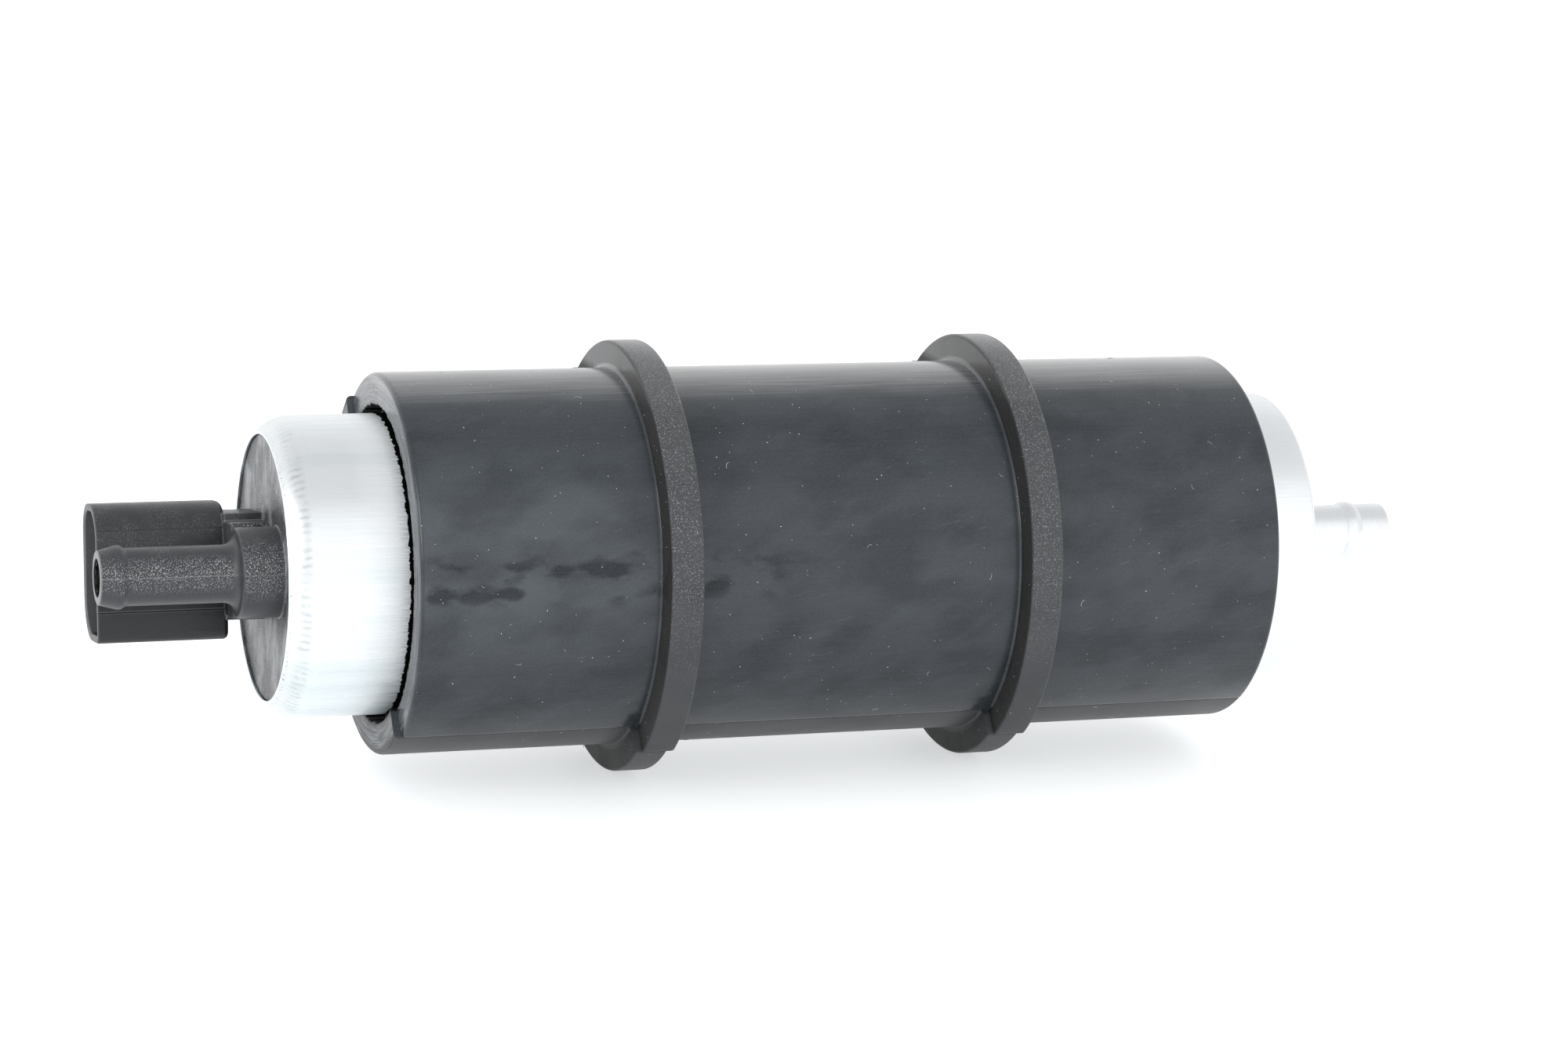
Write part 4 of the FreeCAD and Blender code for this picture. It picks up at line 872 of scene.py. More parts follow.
class Form:
    """The vertices and faces of one piece, in millimetres."""

    def __init__(self) -> None:
        """Start with nothing."""
        self.vertices: list[Point] = []
        self.faces: list[tuple[int, ...]] = []

    def rings(self, rings: Sequence[Sequence[Point]], closed: bool) -> None:
        """Join rings of points with faces.

        Args:
            rings: Rings with equally many points.
            closed: Whether the last ring joins the first; if not, both are filled.
        """
        start = len(self.vertices)
        size = len(rings[0])
        for ring in rings:
            self.vertices.extend(ring)
        for row in range(len(rings) if closed else len(rings) - 1):
            low = start + row * size
            high = start + ((row + 1) % len(rings)) * size
            for here in range(size):
                after = (here + 1) % size
                self.faces.append((low + here, low + after, high + after, high + here))
        if not closed:
            top = start + (len(rings) - 1) * size
            self.faces.append(tuple(start + here for here in reversed(range(size))))
            self.faces.append(tuple(top + here for here in range(size)))

    def turn(
        self, profile: Sequence[Pair], angles: Sequence[float], axis: Pair = (0.0, 0.0),
        warp: Optional[Warp] = None
    ) -> None:
        """Turn a closed profile about the x axis or a line beside it.

        Args:
            profile: Points (x, r).
            angles: Directions round the axis, in degrees.
            axis: The line's y and z.
            warp: Moves a point, given its x, r and angle in degrees.
        """
        rings = []
        for x, r in profile:
            ring = []
            for angle in angles:
                px, pr = warp(x, r, angle) if warp else (x, r)
                way = math.radians(angle)
                ring.append((px, axis[0] + pr * math.cos(way), axis[1] + pr * math.sin(way)))
            rings.append(ring)
        self.rings(rings, closed=True)

    def block(self, low: Point, high: Point, soft: float) -> None:
        """Add a box with rounded edges.

        Args:
            low: Its lowest corner.
            high: Its highest corner.
            soft: The rounding of its edges.
        """
        made = bmesh.new()
        size = [top - bottom for bottom, top in zip(low, high)]
        middle = [(top + bottom) / 2 for bottom, top in zip(low, high)]
        bmesh.ops.create_cube(made, size=1.0)
        bmesh.ops.transform(
            made, matrix=Matrix.Translation(middle) @ Matrix.Diagonal((*size, 1.0)), verts=made.verts
        )
        bmesh.ops.bevel(
            made, geom=made.edges[:], offset=soft, segments=3, profile=0.5, affect="EDGES"
        )
        start = len(self.vertices)
        self.vertices.extend(tuple(vertex.co) for vertex in made.verts)
        made.verts.index_update()
        self.faces.extend(
            tuple(start + vertex.index for vertex in face.verts) for face in made.faces
        )
        made.free()

    def piece(
        self, name: str, material: Material, sharp: float = 32.0, turn: float = 0.0
    ) -> Object:
        """Make the object.

        Args:
            name: The object's name.
            material: Its material.
            sharp: Edges sharper than this many degrees stay hard.
            turn: Degrees by which the form is turned about the pump's axis.

        Returns:
            The object, at the origin, with its place in its mesh.
        """
        mesh = bpy.data.meshes.new(name)
        mesh.from_pydata([Vector(point) * MM for point in self.vertices], [], self.faces)
        mesh.transform(Matrix.Rotation(math.radians(turn), 4, "X"))
        smooth(mesh, sharp)
        mesh.materials.append(material)
        return place(name, mesh)


class Growth(Wiring):
    """A Geometry Nodes tree that grows a mesh, which is then kept as a plain one."""

    def __init__(self, name: str, **inputs: float) -> None:
        """Start the tree with its named inputs.

        Args:
            name: The name of the piece that it grows.
            inputs: The value of each named input; whole numbers stay whole.
        """
        super().__init__(bpy.data.node_groups.new(name, "GeometryNodeTree"))
        self.name = name
        face = self.tree.interface
        face.new_socket("Base", in_out="INPUT", socket_type="NodeSocketGeometry")
        face.new_socket("Grown", in_out="OUTPUT", socket_type="NodeSocketGeometry")
        self.values: dict[str, float] = {}
        for label, value in inputs.items():
            kind = "NodeSocketInt" if isinstance(value, int) else "NodeSocketFloat"
            socket = face.new_socket(label, in_out="INPUT", socket_type=kind)
            self.values[socket.identifier] = value
        self.given = self.add("NodeGroupInput").outputs

    def random(self, low: Point, high: Point, seed: int) -> Socket:
        """A random vector for each point.

        Args:
            low: Its lowest values.
            high: Its highest values.
            seed: Keeps it the same at each build.

        Returns:
            The vector.
        """
        return self.add("FunctionNodeRandomValue", {
            0: low, 1: high, "Seed": seed,
        }, data_type="FLOAT_VECTOR").outputs[0]

    def keep(self, base: Mesh, grown: Socket, material: Material) -> Object:
        """Finish the tree, run it once on a mesh and keep what it makes.

        Args:
            base: The mesh that it grows on.
            grown: The instances or mesh that it ends in.
            material: The material of all that it grows.

        Returns:
            A plain object at the origin.
        """
        real = self.add("GeometryNodeRealizeInstances", {"Geometry": grown})
        dressed = self.add("GeometryNodeSetMaterial", {
            "Geometry": real.outputs["Geometry"], "Material": material,
        })
        self.add("NodeGroupOutput", {"Grown": dressed.outputs["Geometry"]})
        made = place(self.name, base)
        modifier = made.modifiers.new(self.name, "NODES")
        modifier.node_group = self.tree
        for identifier, value in self.values.items():
            modifier[identifier] = value
        seen = bpy.context.evaluated_depsgraph_get()
        mesh = bpy.data.meshes.new_from_object(made.evaluated_get(seen), depsgraph=seen)
        made.modifiers.clear()
        made.data = mesh
        return made


@dataclass
class Canister:
    """The drawn can: rolled in over the cap on the left, flat end with the nipple on the right."""

    radius: float = 21.5
    wall: float = 1.5
    rim: float = 18.9
    rim_edge: float = 0.35
    rim_x: float = -80.5
    rim_soft: float = 0.1
    roll_length: float = 4.8
    end_x: float = 73.9
    end_wall: float = 1.6
    end_round: float = 0.7
    end_run: float = 4.0
    hole: float = 4.02

    def profile(self) -> list[Pair]:
        """The can's section, with the shoulder as an arc that runs into the barrel.

        Returns:
            Points (x, r) in millimetres.
        """
        barrel_x = self.rim_x + self.roll_length
        drop = self.radius - self.rim - self.rim_edge
        roll = (self.roll_length ** 2 + drop ** 2) / (2 * drop)
        lean = math.degrees(math.asin(self.roll_length / roll))
        shoulder = arc((barrel_x, self.radius - roll), roll, 90 + lean, 90, 14)
        rest = rounded_profile([
            Corner(self.end_x - self.end_run, self.radius),
            Corner(self.end_x, self.radius, self.end_round),
            Corner(self.end_x, self.hole, 0.15),
            Corner(self.end_x - self.end_wall, self.hole),
            Corner(self.end_x - self.end_wall, self.radius - self.wall),
            Corner(barrel_x, self.radius - self.wall),
            Corner(self.rim_x + self.rim_soft, self.rim),
        ], closed=False)
        return [*shoulder, *rest, (self.rim_x, self.rim + self.rim_soft)]

    def build(self, material: Material) -> None:
        """Make the can.

        Args:
            material: Its metal.
        """
        form = Form()
        form.turn(self.profile(), even_angles(256))
        dress(form.piece("canister_shell", material), Slot.CAN, "housing_can")


@dataclass
class Sleeve:
    """The rubber sleeve: two mould halves, a little out of line, with a dark line between."""

    radius: float = 27.35
    bore: float = 21.52
    left: float = -63.8
    right: float = 65.2
    corner: float = 0.8
    mouth_gap: float = 1.35
    mouth_depth: float = 3.0
    rib_radius: float = 31.35
    rib_width: float = 4.9
    rib_soft: float = 0.55
    rib_foot: float = 0.45
    clamp_seat: float = 48.8
    shift: float = 1.0
    shift_from: float = 40.0
    parting: float = 50.0
    groove: float = 0.14
    groove_floor: float = 0.03
    groove_half: float = 0.12
    groove_clear: float = 0.6
    drop: float = 0.06
    jag: float = 0.35
    jags_per_degree: float = 0.8
    seed: int = 11

    def profile(self) -> list[Pair]:
        """The sleeve's section.

        Returns:
            Points (x, r) in millimetres.
        """
        mouth = self.bore + self.mouth_gap
        corners = [
            Corner(self.left + self.mouth_depth, self.bore),
            Corner(self.left + self.mouth_depth, mouth, 0.3),
            Corner(self.left, mouth, 0.25),
            Corner(self.left, self.radius, self.corner),
        ]
        for low in (-self.clamp_seat / 2 - self.rib_width, self.clamp_seat / 2):
            high = low + self.rib_width
            corners += [
                Corner(low, self.radius, self.rib_foot),
                Corner(low, self.rib_radius, self.rib_soft),
                Corner(high, self.rib_radius, self.rib_soft),
                Corner(high, self.radius, self.rib_foot),
            ]
        corners += [
            Corner(self.right, self.radius, self.corner),
            Corner(self.right, self.bore, 0.3),
        ]
        return rounded_profile(corners, closed=True)

    def angles(self) -> list[float]:
        """Directions round the axis, closer together at the two partings.

        Returns:
            The directions in degrees, in order.
        """
        off = [self.groove_floor, self.groove_half, self.groove_half * 2, self.groove_clear]
        near = [math.degrees(sign * length / self.radius) for length in off for sign in (-1, 1)]
        clear = max(near) * 1.3
        partings = (self.parting, self.parting + 180)
        plain = [
            angle for angle in even_angles(360)
            if all(abs(angle - parting) > clear for parting in partings)
        ]
        return sorted(plain + [parting + offset for parting in partings for offset in near])

    def shift_at(self, x: float) -> float:
        """How far left of the upper half the lower one lies; nothing at the right end."""
        share = min(max((x - self.shift_from) / (self.right - self.shift_from), 0.0), 1.0)
        return self.shift * (1.0 - share)

    def part(self, x: float, r: float, angle: float) -> Pair:
        """Shift the lower half, cut a hair of a groove where the halves meet, and tear the mouth.

        Args:
            x: Place along the axis.
            r: Distance from the axis.
            angle: Direction in degrees.

        Returns:
            The moved x and r.
        """
        turned = (angle - self.parting) % 360
        upper = min(turned, 180 - turned)
        lower = min(turned - 180, 360 - turned)
        from_seam = math.radians(upper if turned <= 180 else -lower) * self.radius
        below = from_seam < 0
        x = x - self.shift_at(x) if below else x
        if r < self.bore + 0.5:
            return x, r
        if r < self.bore + self.mouth_gap + 1.0:
            ragged = random.Random(self.seed + round(angle * self.jags_per_degree))
            return x, r - self.jag * ragged.random() ** 2
        open_share = 1 - (abs(from_seam) - self.groove_floor) / self.groove_half
        return x, r - max(self.groove * max(0.0, open_share), self.drop if below else 0.0)

    def build(self, material: Material) -> Object:
        """Make the sleeve.

        Args:
            material: Its rubber.

        Returns:
            The sleeve.
        """
        form = Form()
        form.turn(self.profile(), self.angles(), warp=self.part)
        made = form.piece("sleeve_moulding", material)
        dress(made, Slot.SLEEVE, "rubber_sleeve")
        return made


@dataclass
class Lint:
    """Threads and grains of dust that lie scattered on the rubber."""

    thread_radius: float = 0.04
    thread_small: Point = (0.25, 0.25, 1.0)
    thread_large: Point = (1.0, 1.0, 1.0)
    bend_radius: float = 0.8
    sweep: float = 100.0
    grain_radius: float = 0.10
    grain_small: Point = (0.3, 0.3, 0.3)
    grain_large: Point = (1.2, 1.0, 0.6)
    threads: float = 3000.0
    grains: float = 40000.0
    ground_radius: float = 24.5
    seed: int = 5

    def ground(self, sleeve: Object) -> Mesh:
        """Copy the outer faces of the sleeve.

        Args:
            sleeve: The sleeve.

        Returns:
            The mesh that the dust lies on.
        """
        work = bmesh.new()
        work.from_mesh(sleeve.data)
        inner = [
            face for face in work.faces
            if Vector((face.calc_center_median().yz)).length < self.ground_radius * MM
        ]
        bmesh.ops.delete(work, geom=inner, context="FACES")
        mesh = bpy.data.meshes.new("ground")
        work.to_mesh(mesh)
        work.free()
        return mesh

    def scatter(
        self, growth: Growth, density: str, instance: Socket, low: Point, high: Point, seed: int
    ) -> Socket:
        """Scatter one form over the base, each turned and sized at random.

        Args:
            growth: The tree.
            density: The name of the input that says how many lie on a square metre.
            instance: The form.
            low: Its smallest scale.
            high: Its largest scale.
            seed: Keeps the places the same at each build.

        Returns:
            The instances.
        """
        points = growth.add("GeometryNodeDistributePointsOnFaces", {
            "Mesh": growth.given["Base"], "Density": growth.given[density], "Seed": seed,
        })
        turned = growth.add("FunctionNodeRotateRotation", {
            "Rotation": points.outputs["Rotation"],
            "Rotate By": growth.random((0.0, 0.0, 0.0), (0.0, 0.0, math.tau), seed + 1),
        }, rotation_space="LOCAL")
        return growth.add("GeometryNodeInstanceOnPoints", {
            "Points": points.outputs["Points"],
            "Instance": instance,
            "Rotation": turned.outputs["Rotation"],
            "Scale": growth.random(low, high, seed + 2),
        }).outputs["Instances"]

    def build(self, sleeve: Object, material: Material) -> None:
        """Scatter the dust over the sleeve.

        Args:
            sleeve: The sleeve that it lies on.
            material: The dust's material.
        """
        growth = Growth(
            "lint_and_dust", thread_radius=self.thread_radius * MM,
            bend_radius=self.bend_radius * MM, grain_radius=self.grain_radius * MM,
            threads=self.threads, grains=self.grains,
        )
        bend = growth.add("GeometryNodeCurveArc", {
            "Resolution": 7, "Radius": growth.given["bend_radius"],
            "Sweep Angle": math.radians(self.sweep),
        }, mode="RADIUS")
        section = growth.add("GeometryNodeCurvePrimitiveCircle", {
            "Resolution": 5, "Radius": growth.given["thread_radius"],
        })
        thread = growth.add("GeometryNodeCurveToMesh", {
            "Curve": bend.outputs["Curve"], "Profile Curve": section.outputs["Curve"],
            "Fill Caps": True,
        })
        grain = growth.add("GeometryNodeMeshIcoSphere", {
            "Radius": growth.given["grain_radius"], "Subdivisions": 1,
        })
        scattered = growth.add("GeometryNodeJoinGeometry")
        for lot in (
            self.scatter(growth, "threads", thread.outputs["Mesh"],
                         self.thread_small, self.thread_large, self.seed),
            self.scatter(growth, "grains", grain.outputs["Mesh"],
                         self.grain_small, self.grain_large, self.seed + 10),
        ):
            growth.tree.links.new(lot, scattered.inputs["Geometry"])
        dress(
            growth.keep(self.ground(sleeve), scattered.outputs["Geometry"], material), Slot.SLEEVE
        )


@dataclass
class EndCap:
    """The black moulding: disc, outlet barb with a fluted mouth, plug shroud and its neck."""

    turn: float = -10.0
    face_x: float = -80.0
    root_x: float = -79.0
    rim: float = 18.88
    skirt: float = 19.96
    roll_x: float = -75.7
    skirt_end_x: float = -62.0
    cup_radius: float = 15.96
    cup_floor_x: float = -76.0
    rabbet_x: float = -64.4
    rabbet: float = 17.96
    barb_y: float = -9.13
    tip_x: float = -105.2
    tip: float = 3.75
    taper: float = 2.5
    ridge: float = 4.45
    land: float = 0.6
    back: float = 0.7
    stem: float = 4.05
    flare: float = 1.8
    base: float = 6.35
    base_x: float = -86.0
    base_soft: float = 0.5
    root: float = 0.4
    root_soft: float = 0.36
    hole: float = 5.6
    boss: float = 6.0
    boss_x: float = -65.0
    chamber: float = 4.4
    chamber_x: float = -84.0
    bore: float = 2.2
    mouth_bore: float = 2.65
    mouth_depth: float = 4.0
    land_count: int = 10
    land_width: float = 0.8
    land_small: Point = (0.8, 0.7, 0.9)
    land_large: Point = (1.3, 1.2, 0.98)
    land_sunk: float = 0.15
    seam: float = 0.06
    mouth_x: float = -103.6
    shroud_end_x: float = -85.1
    socket_floor_x: float = -87.6
    front: float = 0.5
    depth: float = 12.0
    height: float = 19.4
    front_top: float = 5.5
    front_low: float = 1.4
    back_top: float = 4.0
    back_low: float = 6.0
    wall: float = 1.0
    drop: float = 0.4
    panel_low: float = 5.4
    panel_depth: float = 0.3
    end_soft: float = 0.7
    lip: float = 0.2
    neck_depth: float = 10.2
    neck_height: float = 15.1
    neck_lift: float = 0.2
    bracket_depth: float = 5.5
    bracket_height: float = 13.4
    overlap: float = 0.5

    def disc(self, form: Form) -> None:
        """Add the disc and its skirt, with the hole off the axis that the barb's root fills.

        Args:
            form: The cap's form.
        """
        profile = rounded_profile([
            Corner(self.face_x, self.hole),
            Corner(self.face_x, self.rim, 0.2),
            Corner(self.roll_x, self.skirt),
            Corner(self.rabbet_x, self.skirt),
            Corner(self.rabbet_x, self.rabbet),
            Corner(self.skirt_end_x, self.rabbet),
            Corner(self.skirt_end_x, self.cup_radius),
            Corner(self.cup_floor_x, self.cup_radius, 0.5),
            Corner(self.cup_floor_x, self.hole),
        ], closed=False)
        rings = []
        for x, r in profile:
            across = self.barb_y if r == self.hole else 0.0
            rings.append([
                (x, across + r * math.cos(way), r * math.sin(way))
                for way in map(math.radians, even_angles(192))
            ])
        form.rings(rings, closed=True)

    def barb(self, form: Form) -> None:
        """Add the outlet barb, from its mouth to the boss behind the disc that holds the valve.

        Args:
            form: The cap's form.
        """
        ridge_x = self.tip_x + self.taper
        profile = rounded_profile([
            Corner(self.boss_x, self.boss),
            Corner(self.root_x, self.boss),
            Corner(self.root_x, self.base + self.root),
            Corner(self.face_x, self.base + self.root),
            Corner(self.face_x, self.base, self.root_soft),
            Corner(self.base_x, self.base, self.base_soft),
            Corner(self.base_x, self.stem, self.flare),
            Corner(ridge_x + self.land + self.back, self.stem, 0.15),
            Corner(ridge_x + self.land, self.ridge, 0.15),
            Corner(ridge_x, self.ridge, 0.3),
            Corner(self.tip_x, self.tip, 0.25),
            Corner(self.tip_x, self.mouth_bore, 0.1),
            Corner(self.tip_x + self.mouth_depth, self.mouth_bore),
            Corner(self.tip_x + self.mouth_depth, self.bore),
            Corner(self.chamber_x, self.bore),
            Corner(self.chamber_x, self.chamber),
            Corner(self.boss_x, self.chamber),
        ], closed=True)
        form.turn(profile, even_angles(240), (self.barb_y, 0.0), self.parting_seam)

    def parting_seam(self, x: float, r: float, angle: float) -> Pair:
        """Raise a hair of a seam along both sides of the barb where the mould parts.

        Args:
            x: Place along the axis.
            r: Distance from the barb's axis.
            angle: Direction in degrees.

        Returns:
            The same x, and the raised r.
        """
        on_seam = min(abs(angle - side) for side in (0.0, 180.0, 360.0)) < 1.0
        outside = r > self.mouth_bore + 0.5
        return x, r + self.seam if on_seam and outside else r

    def lands(self, material: Material) -> None:
        """Grow the uneven lands between the flutes of the barb's mouth.

        Args:
            material: The cap's plastic.
        """
        reach = self.mouth_bore - self.bore
        growth = Growth(
            "barb_mouth_lands", count=self.land_count, step=math.tau / self.land_count,
            radius=(self.mouth_bore + self.bore) / 2 * MM,
        )
        ring = growth.add("GeometryNodeMeshCircle", {
            "Vertices": growth.given["count"], "Radius": growth.given["radius"],
        })
        index = growth.add("GeometryNodeInputIndex").outputs["Index"]
        angle = growth.calculate("MULTIPLY", index, growth.given["step"])
        land = growth.add("GeometryNodeMeshCube", {
            "Size": Vector((reach * 1.2, self.land_width, self.mouth_depth)) * MM,
        })
        placed = growth.add("GeometryNodeInstanceOnPoints", {
            "Points": ring.outputs["Mesh"],
            "Instance": land.outputs["Mesh"],
            "Rotation": growth.add("ShaderNodeCombineXYZ", {"Z": angle}).outputs["Vector"],
            "Scale": growth.random(self.land_small, self.land_large, 3),
        })
        middle_x = self.tip_x + self.mouth_depth / 2 + self.land_sunk
        stood = growth.add("GeometryNodeTransform", {
            "Geometry": placed.outputs["Instances"],
            "Rotation": (0.0, math.pi / 2, 0.0),
            "Translation": Vector((middle_x, self.barb_y, 0.0)) * MM,
        })
        made = growth.keep(bpy.data.meshes.new("empty"), stood.outputs["Geometry"], material)
        made.data.transform(Matrix.Rotation(math.radians(self.turn), 4, "X"))
        dress(made, Slot.CAP)

    def outline(self, x: float, inset: float, panel: float) -> list[Point]:
        """One ring round the shroud.

        Args:
            x: Place along the axis.
            inset: How far inside the shroud's outside it lies.
            panel: Depth of the panel in the front.

        Returns:
            The ring's points.
        """
        near = self.front + inset
        far = self.front + self.depth - inset
        half = self.height / 2 - inset
        soft = self.front_top - inset
        cut = math.degrees(math.acos(1 - panel / soft))
        ring = [(near + panel, -self.panel_low + panel / 2), (near, -self.panel_low)]
        for y, z, curve, start, end in (
            (near, -half, self.front_low - inset, 180, 270),
            (far, -half, self.back_low - inset, 270, 360),
            (far, half, self.back_top - inset, 0, 90),
            (near, half, soft, 90, 180 - cut),
        ):
            middle = (y + curve if y == near else y - curve, z + curve if z < 0 else z - curve)
            ring += arc(middle, curve, start, end, 12)
        return [(x, y, z - self.drop) for y, z in ring]

    def shroud(self, form: Form) -> None:
        """Add the plug shroud, open at its mouth, with its panel and soft edges.

        Args:
            form: The cap's form.
        """
        back = arc((self.shroud_end_x - self.end_soft, self.end_soft), self.end_soft, 0, -90, 5)
        lip = arc((self.mouth_x + self.lip, self.lip), self.lip, -90, -180, 3)
        rings = [self.outline(x, inset, self.panel_depth) for x, inset in back]
        rings += [
            self.outline(x, inset, self.panel_depth * (1 - step / 6))
            for step, (x, inset) in enumerate(lip)
        ]
        rings += [self.outline(x, inset, panel) for x, inset, panel in (
            (self.mouth_x, self.wall - self.lip, 0.1),
            (self.mouth_x + self.lip, self.wall, 0.0),
            (self.socket_floor_x, self.wall, 0.0),
        )]
        form.rings(rings, closed=False)

    def neck(self, form: Form) -> None:
        """Add the neck that carries the shroud on the disc, and the bracket to the barb.

        Args:
            form: The cap's form.
        """
        start_x = self.shroud_end_x - self.overlap
        half_neck = self.neck_height / 2
        half_bracket = self.bracket_height / 2
        form.block(
            (start_x, self.front, self.neck_lift - half_neck),
            (self.root_x, self.front + self.neck_depth, self.neck_lift + half_neck), 0.3,
        )
        form.block(
            (start_x, self.front - self.bracket_depth, -half_bracket),
            (self.root_x, self.front + self.overlap * 2, half_bracket), 0.35,
        )

    def build(self, material: Material) -> None:
        """Make the cap and the lands in its barb's mouth.

        Args:
            material: Their plastic.
        """
        form = Form()
        for add in (self.disc, self.barb, self.shroud, self.neck):
            add(form)
        dress(form.piece("cap_moulding", material, turn=self.turn), Slot.CAP, "end_cap")
        self.lands(material)


@dataclass
class Nipple:
    """The turned hose nipple with its rolled bead."""

    radius: float = 4.0
    bore: float = 2.8
    start_x: float = 71.1
    wall_x: float = 72.3
    flange: float = 7.0
    end_x: float = 94.8
    end_run: float = 4.0
    bead_x: float = 88.8
    bead: float = 4.45
    bead_width: float = 2.6

    def profile(self) -> list[Pair]:
        """The nipple's section, with the bead as an arc.

        Returns:
            Points (x, r) in millimetres.
        """
        half = self.bead_width / 2
        rise = self.bead - self.radius
        curve = (half ** 2 + rise ** 2) / (2 * rise)
        lean = math.degrees(math.asin(half / curve))
        start = [
            (self.start_x, self.bore), (self.start_x, self.flange),
            (self.wall_x, self.flange), (self.wall_x, self.radius),
        ]
        bead = arc((self.bead_x, self.bead - curve), curve, 90 + lean, 90 - lean, 12)
        end = rounded_profile([
            Corner(self.end_x - self.end_run, self.radius),
            Corner(self.end_x, self.radius, 0.4),
            Corner(self.end_x, self.bore, 0.2),
            Corner(self.end_x - self.end_run, self.bore),
        ], closed=False)
        return [*start, *bead, *end]

    def build(self, material: Material) -> None:
        """Make the nipple.

        Args:
            material: Its metal.
        """
        form = Form()
        form.turn(self.profile(), even_angles(96))
        dress(form.piece("nipple_tube", material), Slot.NIPPLE, "inlet_nipple")


@dataclass(frozen=True)
class Spring:
    """A spring or a lead with one end on the housing and the other on a moving piece."""

    node: str
    body: str
    slot: Slot = Slot.SPRING
    moves_at_right: bool = True
    end: float = 0.4
    weld: float = 0.002
    sharp: float = 40.0

    def build(self) -> None:
        """Make the piece from its solid's own surface, in the solid's place."""
        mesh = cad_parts[self.node].data.copy()
        mesh.name = f"{self.node}_wire"
        smooth(mesh, self.sharp, self.weld)
        made = place(mesh.name, mesh)
        low, high = (list(corner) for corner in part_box(self.node))
        low[0] += self.end * MM
        high[0] -= self.end * MM
        high[1:] = low[1:]
        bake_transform(made)
        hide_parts(self.node)
        report(made, self.node)


@dataclass
class InnerWorks:
    """The pieces inside the can and the plug blades, which keep their shapes."""

    finishes: dict[tuple[str, ...], MachinedMetal | PressedSolid] = field(default_factory=lambda: {
        ("terminal_plus", "terminal_minus", "check_valve_seat", "relief_valve"):
            MachinedMetal("brass_tinned_stamped", "b9b39f", "8e8a7a", 0.32),
        ("cap_seal_ring",): PressedSolid("fluororubber_moulded", "2a2724", "3a3632", 0.6),
        ("brush_holder", "check_valve_poppet"):
            PressedSolid("pps_moulded", "3d3a36", "5a5650", 0.5),
        ("thrust_washers", "commutator_hub"):
            PressedSolid("phenolic_moulded", "4a3527", "6b5240", 0.5),
        ("choke_cores", "magnet_upper", "magnet_lower"):
            PressedSolid("ferrite_sintered", "35363a", "54565b", 0.7, 0.3),
        ("choke_coils", "armature_winding"):
            MachinedMetal("copper_wire_enamelled", "b5653a", "7c3b1e", 0.25, 0.6, (0.25, 4, 4)),
        ("commutator_segments", "brush_lead_plus", "brush_lead_minus"):
            MachinedMetal("copper_drawn", "c98561", "9b5a3b", 0.3),
        ("brush_plus", "brush_minus"):
            PressedSolid("carbon_pressed", "2b2c2f", "4a4c50", 0.65, 0.2),
        ("brush_spring_plus", "brush_spring_minus", "check_valve_spring", "relief_spring",
         "magnet_clips"):
            MachinedMetal("spring_steel_drawn", "9a9ca0", "6d6f73", 0.3, 0.5, (0.25, 3, 3)),
        ("armature_shaft", "stage_dowels"):
            MachinedMetal("steel_ground", "b4b6ba", "8b8d91", 0.16, 0.12),
        ("armature_core", "flux_ring"):
            MachinedMetal("electrical_steel_stacked", "7c7f84", "55585c", 0.4, 0.5, (1, 40, 40)),
        ("front_bush", "rear_bush"): PressedSolid("bronze_sintered", "8c6a3d", "b08a55", 0.45),
        ("outlet_plate", "gear_housing"):
            MachinedMetal("aluminium_die_cast", "c4c7ca", "9a9da1", 0.38, 0.4, (1, 1, 1)),
        ("inner_gear", "outer_gear"): PressedSolid("steel_sintered", "6e7074", "8e9094", 0.4),
        ("inlet_strainer",): PressedSolid("acetal_moulded", "d8d4c4", "c4bfae", 0.5),
    })
    springs: tuple[Spring, ...] = (
        Spring("brush_spring_plus", "brush_plus"),
        Spring("brush_spring_minus", "brush_minus"),
        Spring("brush_lead_plus", "brush_plus", Slot.LEAD),
        Spring("brush_lead_minus", "brush_minus", Slot.LEAD),
        Spring("check_valve_spring", "check_valve"),
        Spring("relief_spring", "relief_valve", moves_at_right=False),
    )

    def build(self) -> None:
        """Give every inner piece its material, and remake the springs and leads from their own
        surfaces.
        """
        for nodes, finish in self.finishes.items():
            material = finish.build()
            for name in nodes:
                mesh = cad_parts[name].data
                mesh.materials.clear()
                mesh.materials.append(material)
            log.info("%s on %s", finish.name, ", ".join(nodes))
        for spring in self.springs:
            spring.build()


@dataclass(frozen=True)
class Softbox:
    """A soft square lamp: its place and its side in metres, and its power in watts."""

    name: str
    spot: Point
    side: float
    power: float

    def build(self) -> None:
        """Hang the lamp so that it faces the pump."""
        data = bpy.data.lights.new(self.name, "AREA")
        data.size = self.side
        data.energy = self.power
        made = place(self.name, data)
        made.location = self.spot
        made.rotation_euler = (-Vector(self.spot)).to_track_quat("-Z", "Y").to_euler()


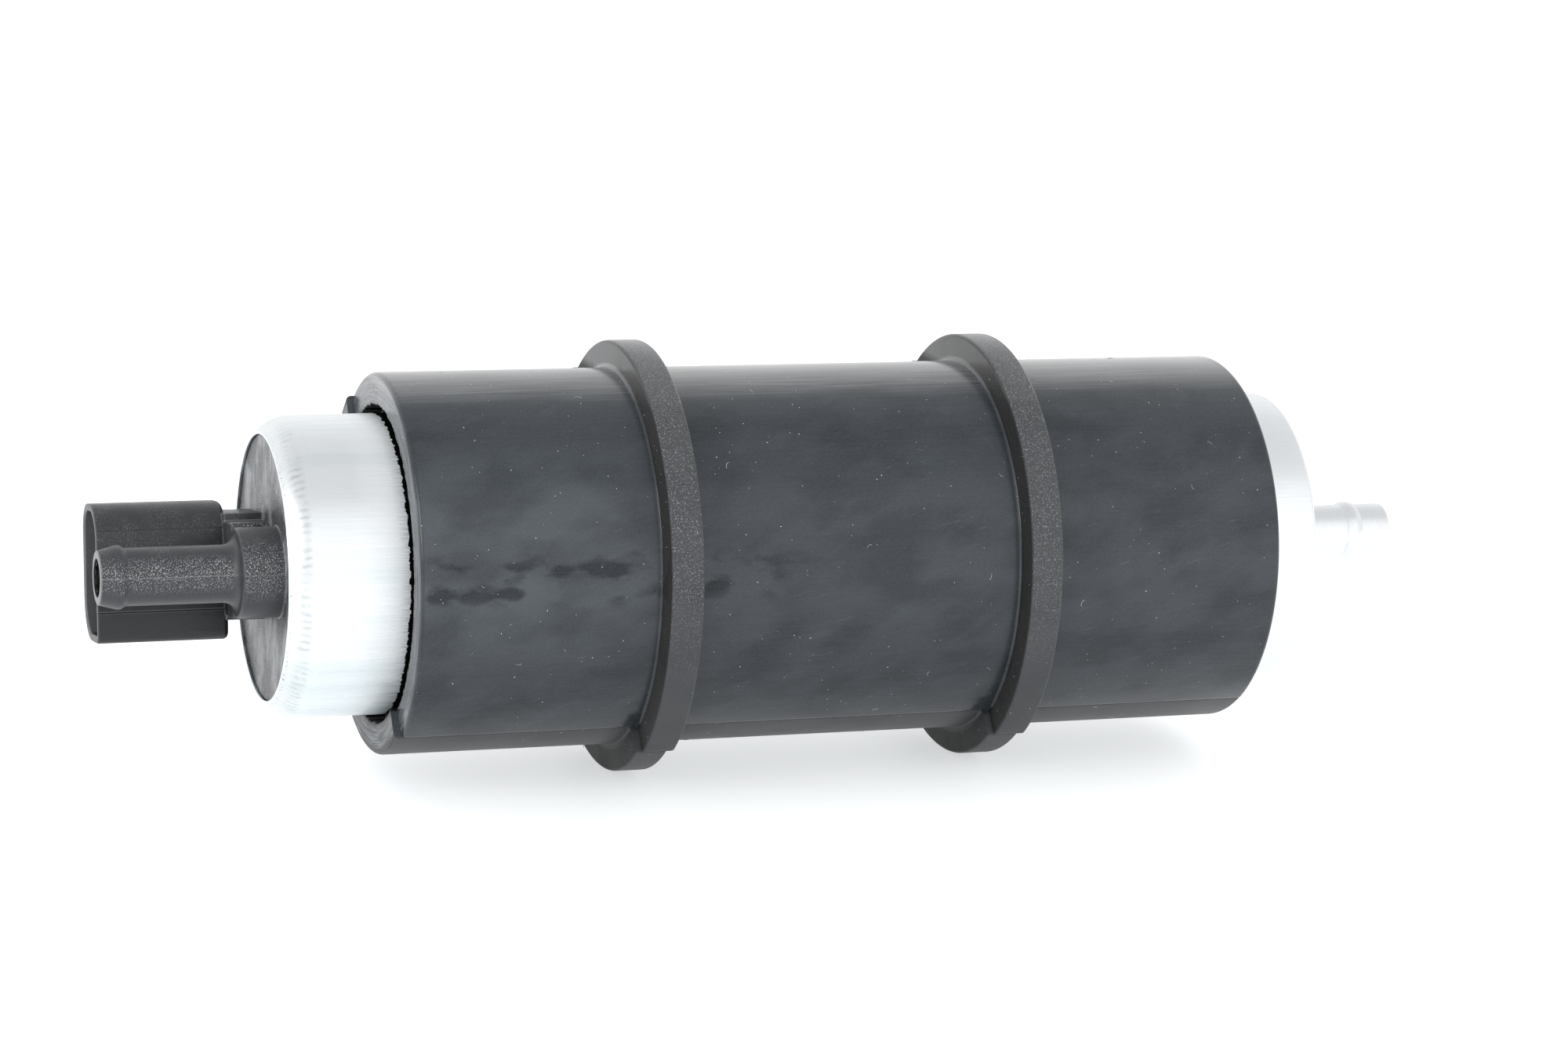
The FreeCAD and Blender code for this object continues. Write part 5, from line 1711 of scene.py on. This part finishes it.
@dataclass
class Studio:
    """Pale floor, white surroundings, soft lamps and the camera."""

    distance: float = 611.113
    azimuth: float = 18.999
    elevation: float = 13.125
    roll: float = 2.619
    lens: float = 95.283
    sensor: float = 36.0
    target: Point = (-2.58, 0.0, 4.087)
    floor_z: float = -31.35
    floor_half: float = 4000.0
    glow: float = 0.58
    mirrored: float = 0.8
    ambient: float = 0.98
    ceiling: float = 0.74
    ceiling_rise: Pair = (0.40, 0.90)
    lamps: tuple[Softbox, ...] = (
        Softbox("softbox_front", (0.12, -1.1, 0.35), 1.8, 2.0),
        Softbox("softbox_left", (-1.0, -0.25, 0.35), 0.5, 2.4),
    )

    def camera(self) -> None:
        """Place the camera where the photograph was taken from."""
        azimuth, elevation, roll = map(math.radians, (self.azimuth, self.elevation, self.roll))
        back = Vector((
            -math.sin(azimuth) * math.cos(elevation),
            -math.cos(azimuth) * math.cos(elevation),
            math.sin(elevation),
        ))
        right = (-back).cross(Vector((0, 0, 1))).normalized()
        up = back.cross(right)
        tilted_right = right * math.cos(roll) + up * math.sin(roll)
        tilted_up = up * math.cos(roll) - right * math.sin(roll)
        data = bpy.data.cameras.new("camera")
        data.lens = self.lens
        data.sensor_width = self.sensor
        data.clip_start = 0.01
        camera = place("camera", data)
        spot = (Vector(self.target) + back * self.distance) * MM
        turn = Matrix((tilted_right, tilted_up, back)).transposed().to_4x4()
        camera.matrix_world = Matrix.Translation(spot) @ turn
        bpy.context.scene.camera = camera

    def floor(self) -> None:
        """Lay the pale floor, which shows white to the camera but keeps the pump's shadow."""
        surface = Surface("white_acrylic_sheet", "f4f5f6")
        surface.set(Roughness=0.5)
        seen = self.is_seen(surface, self.mirrored)
        glow = surface.add("ShaderNodeEmission", {
            "Color": paint("f6f9fb"), "Strength": surface.all_of(seen, self.glow),
        })
        both = surface.add("ShaderNodeAddShader", {
            0: surface.shader.outputs["BSDF"], 1: glow.outputs["Emission"],
        })
        surface.tree.links.new(both.outputs["Shader"], surface.output.inputs["Surface"])
        mesh = bpy.data.meshes.new("floor")
        mesh.from_pydata([
            Vector((x * self.floor_half, y * self.floor_half, self.floor_z)) * MM
            for x, y in ((-1, -1), (1, -1), (1, 1), (-1, 1))
        ], [], [(0, 1, 2, 3)])
        mesh.materials.append(surface.material)
        floor = place("floor", mesh)

    def is_seen(self, wiring: Wiring, mirrored: float = 1.0) -> Socket:
        """Whether a ray comes from the camera, a mirror or a clear body.

        Args:
            wiring: The tree that asks.
            mirrored: What a ray from a mirror counts for.

        Returns:
            1 where it does.
        """
        path = wiring.add("ShaderNodeLightPath").outputs
        mirror = wiring.all_of(path["Is Glossy Ray"], mirrored)
        direct = wiring.calculate("MAXIMUM", path["Is Camera Ray"], mirror)
        return wiring.calculate("MAXIMUM", direct, path["Is Transmission Ray"])

    def world(self) -> None:
        """Surround the pump with light under a grey ceiling, and with white where it is seen."""
        world = bpy.data.worlds.new("white_room")
        bpy.context.scene.world = world
        world.use_nodes = True
        made = Wiring(world.node_tree)
        made.tree.nodes.clear()
        way = made.add("ShaderNodeTexCoord").outputs["Generated"]
        rise = made.add("ShaderNodeSeparateXYZ", {"Vector": way}).outputs["Z"]
        shade = made.ramp(rise, *self.ceiling_rise, 1.0, self.ceiling)
        light, mirror, white = (
            made.add("ShaderNodeBackground", {
                "Color": paint("ffffff"), "Strength": strength,
            }).outputs["Background"]
            for strength in (made.all_of(shade, self.ambient), shade, 1.0)
        )
        around = made.add("ShaderNodeMixShader", {0: self.is_seen(made), 1: light, 2: mirror})
        straight = made.add("ShaderNodeLightPath").outputs["Is Camera Ray"]
        mixed = made.add("ShaderNodeMixShader", {
            0: straight, 1: around.outputs["Shader"], 2: white,
        })
        made.add("ShaderNodeOutputWorld", {"Surface": mixed.outputs["Shader"]})

    def build(self) -> None:
        """Set up the whole studio."""
        bpy.context.scene.view_settings.view_transform = "Standard"
        self.camera()
        self.floor()
        self.world()
        for lamp in self.lamps:
            lamp.build()


def main() -> None:
    """Build the studio and the pump's pieces in order."""
    logging.basicConfig(level=logging.INFO, format="%(name)s: %(message)s")
    Studio().build()
    Canister().build(DrawnAluminium().build())
    sleeve = Sleeve().build(MouldedRubber().build())
    Lint().build(sleeve, CottonLint().build())
    EndCap().build(MouldedNylon().build())
    Nipple().build(MachinedMetal("aluminium_turned", "f3f5f7", "dbe0e4", 0.28).build())
    InnerWorks().build()


if __name__ == "__main__":
    main()
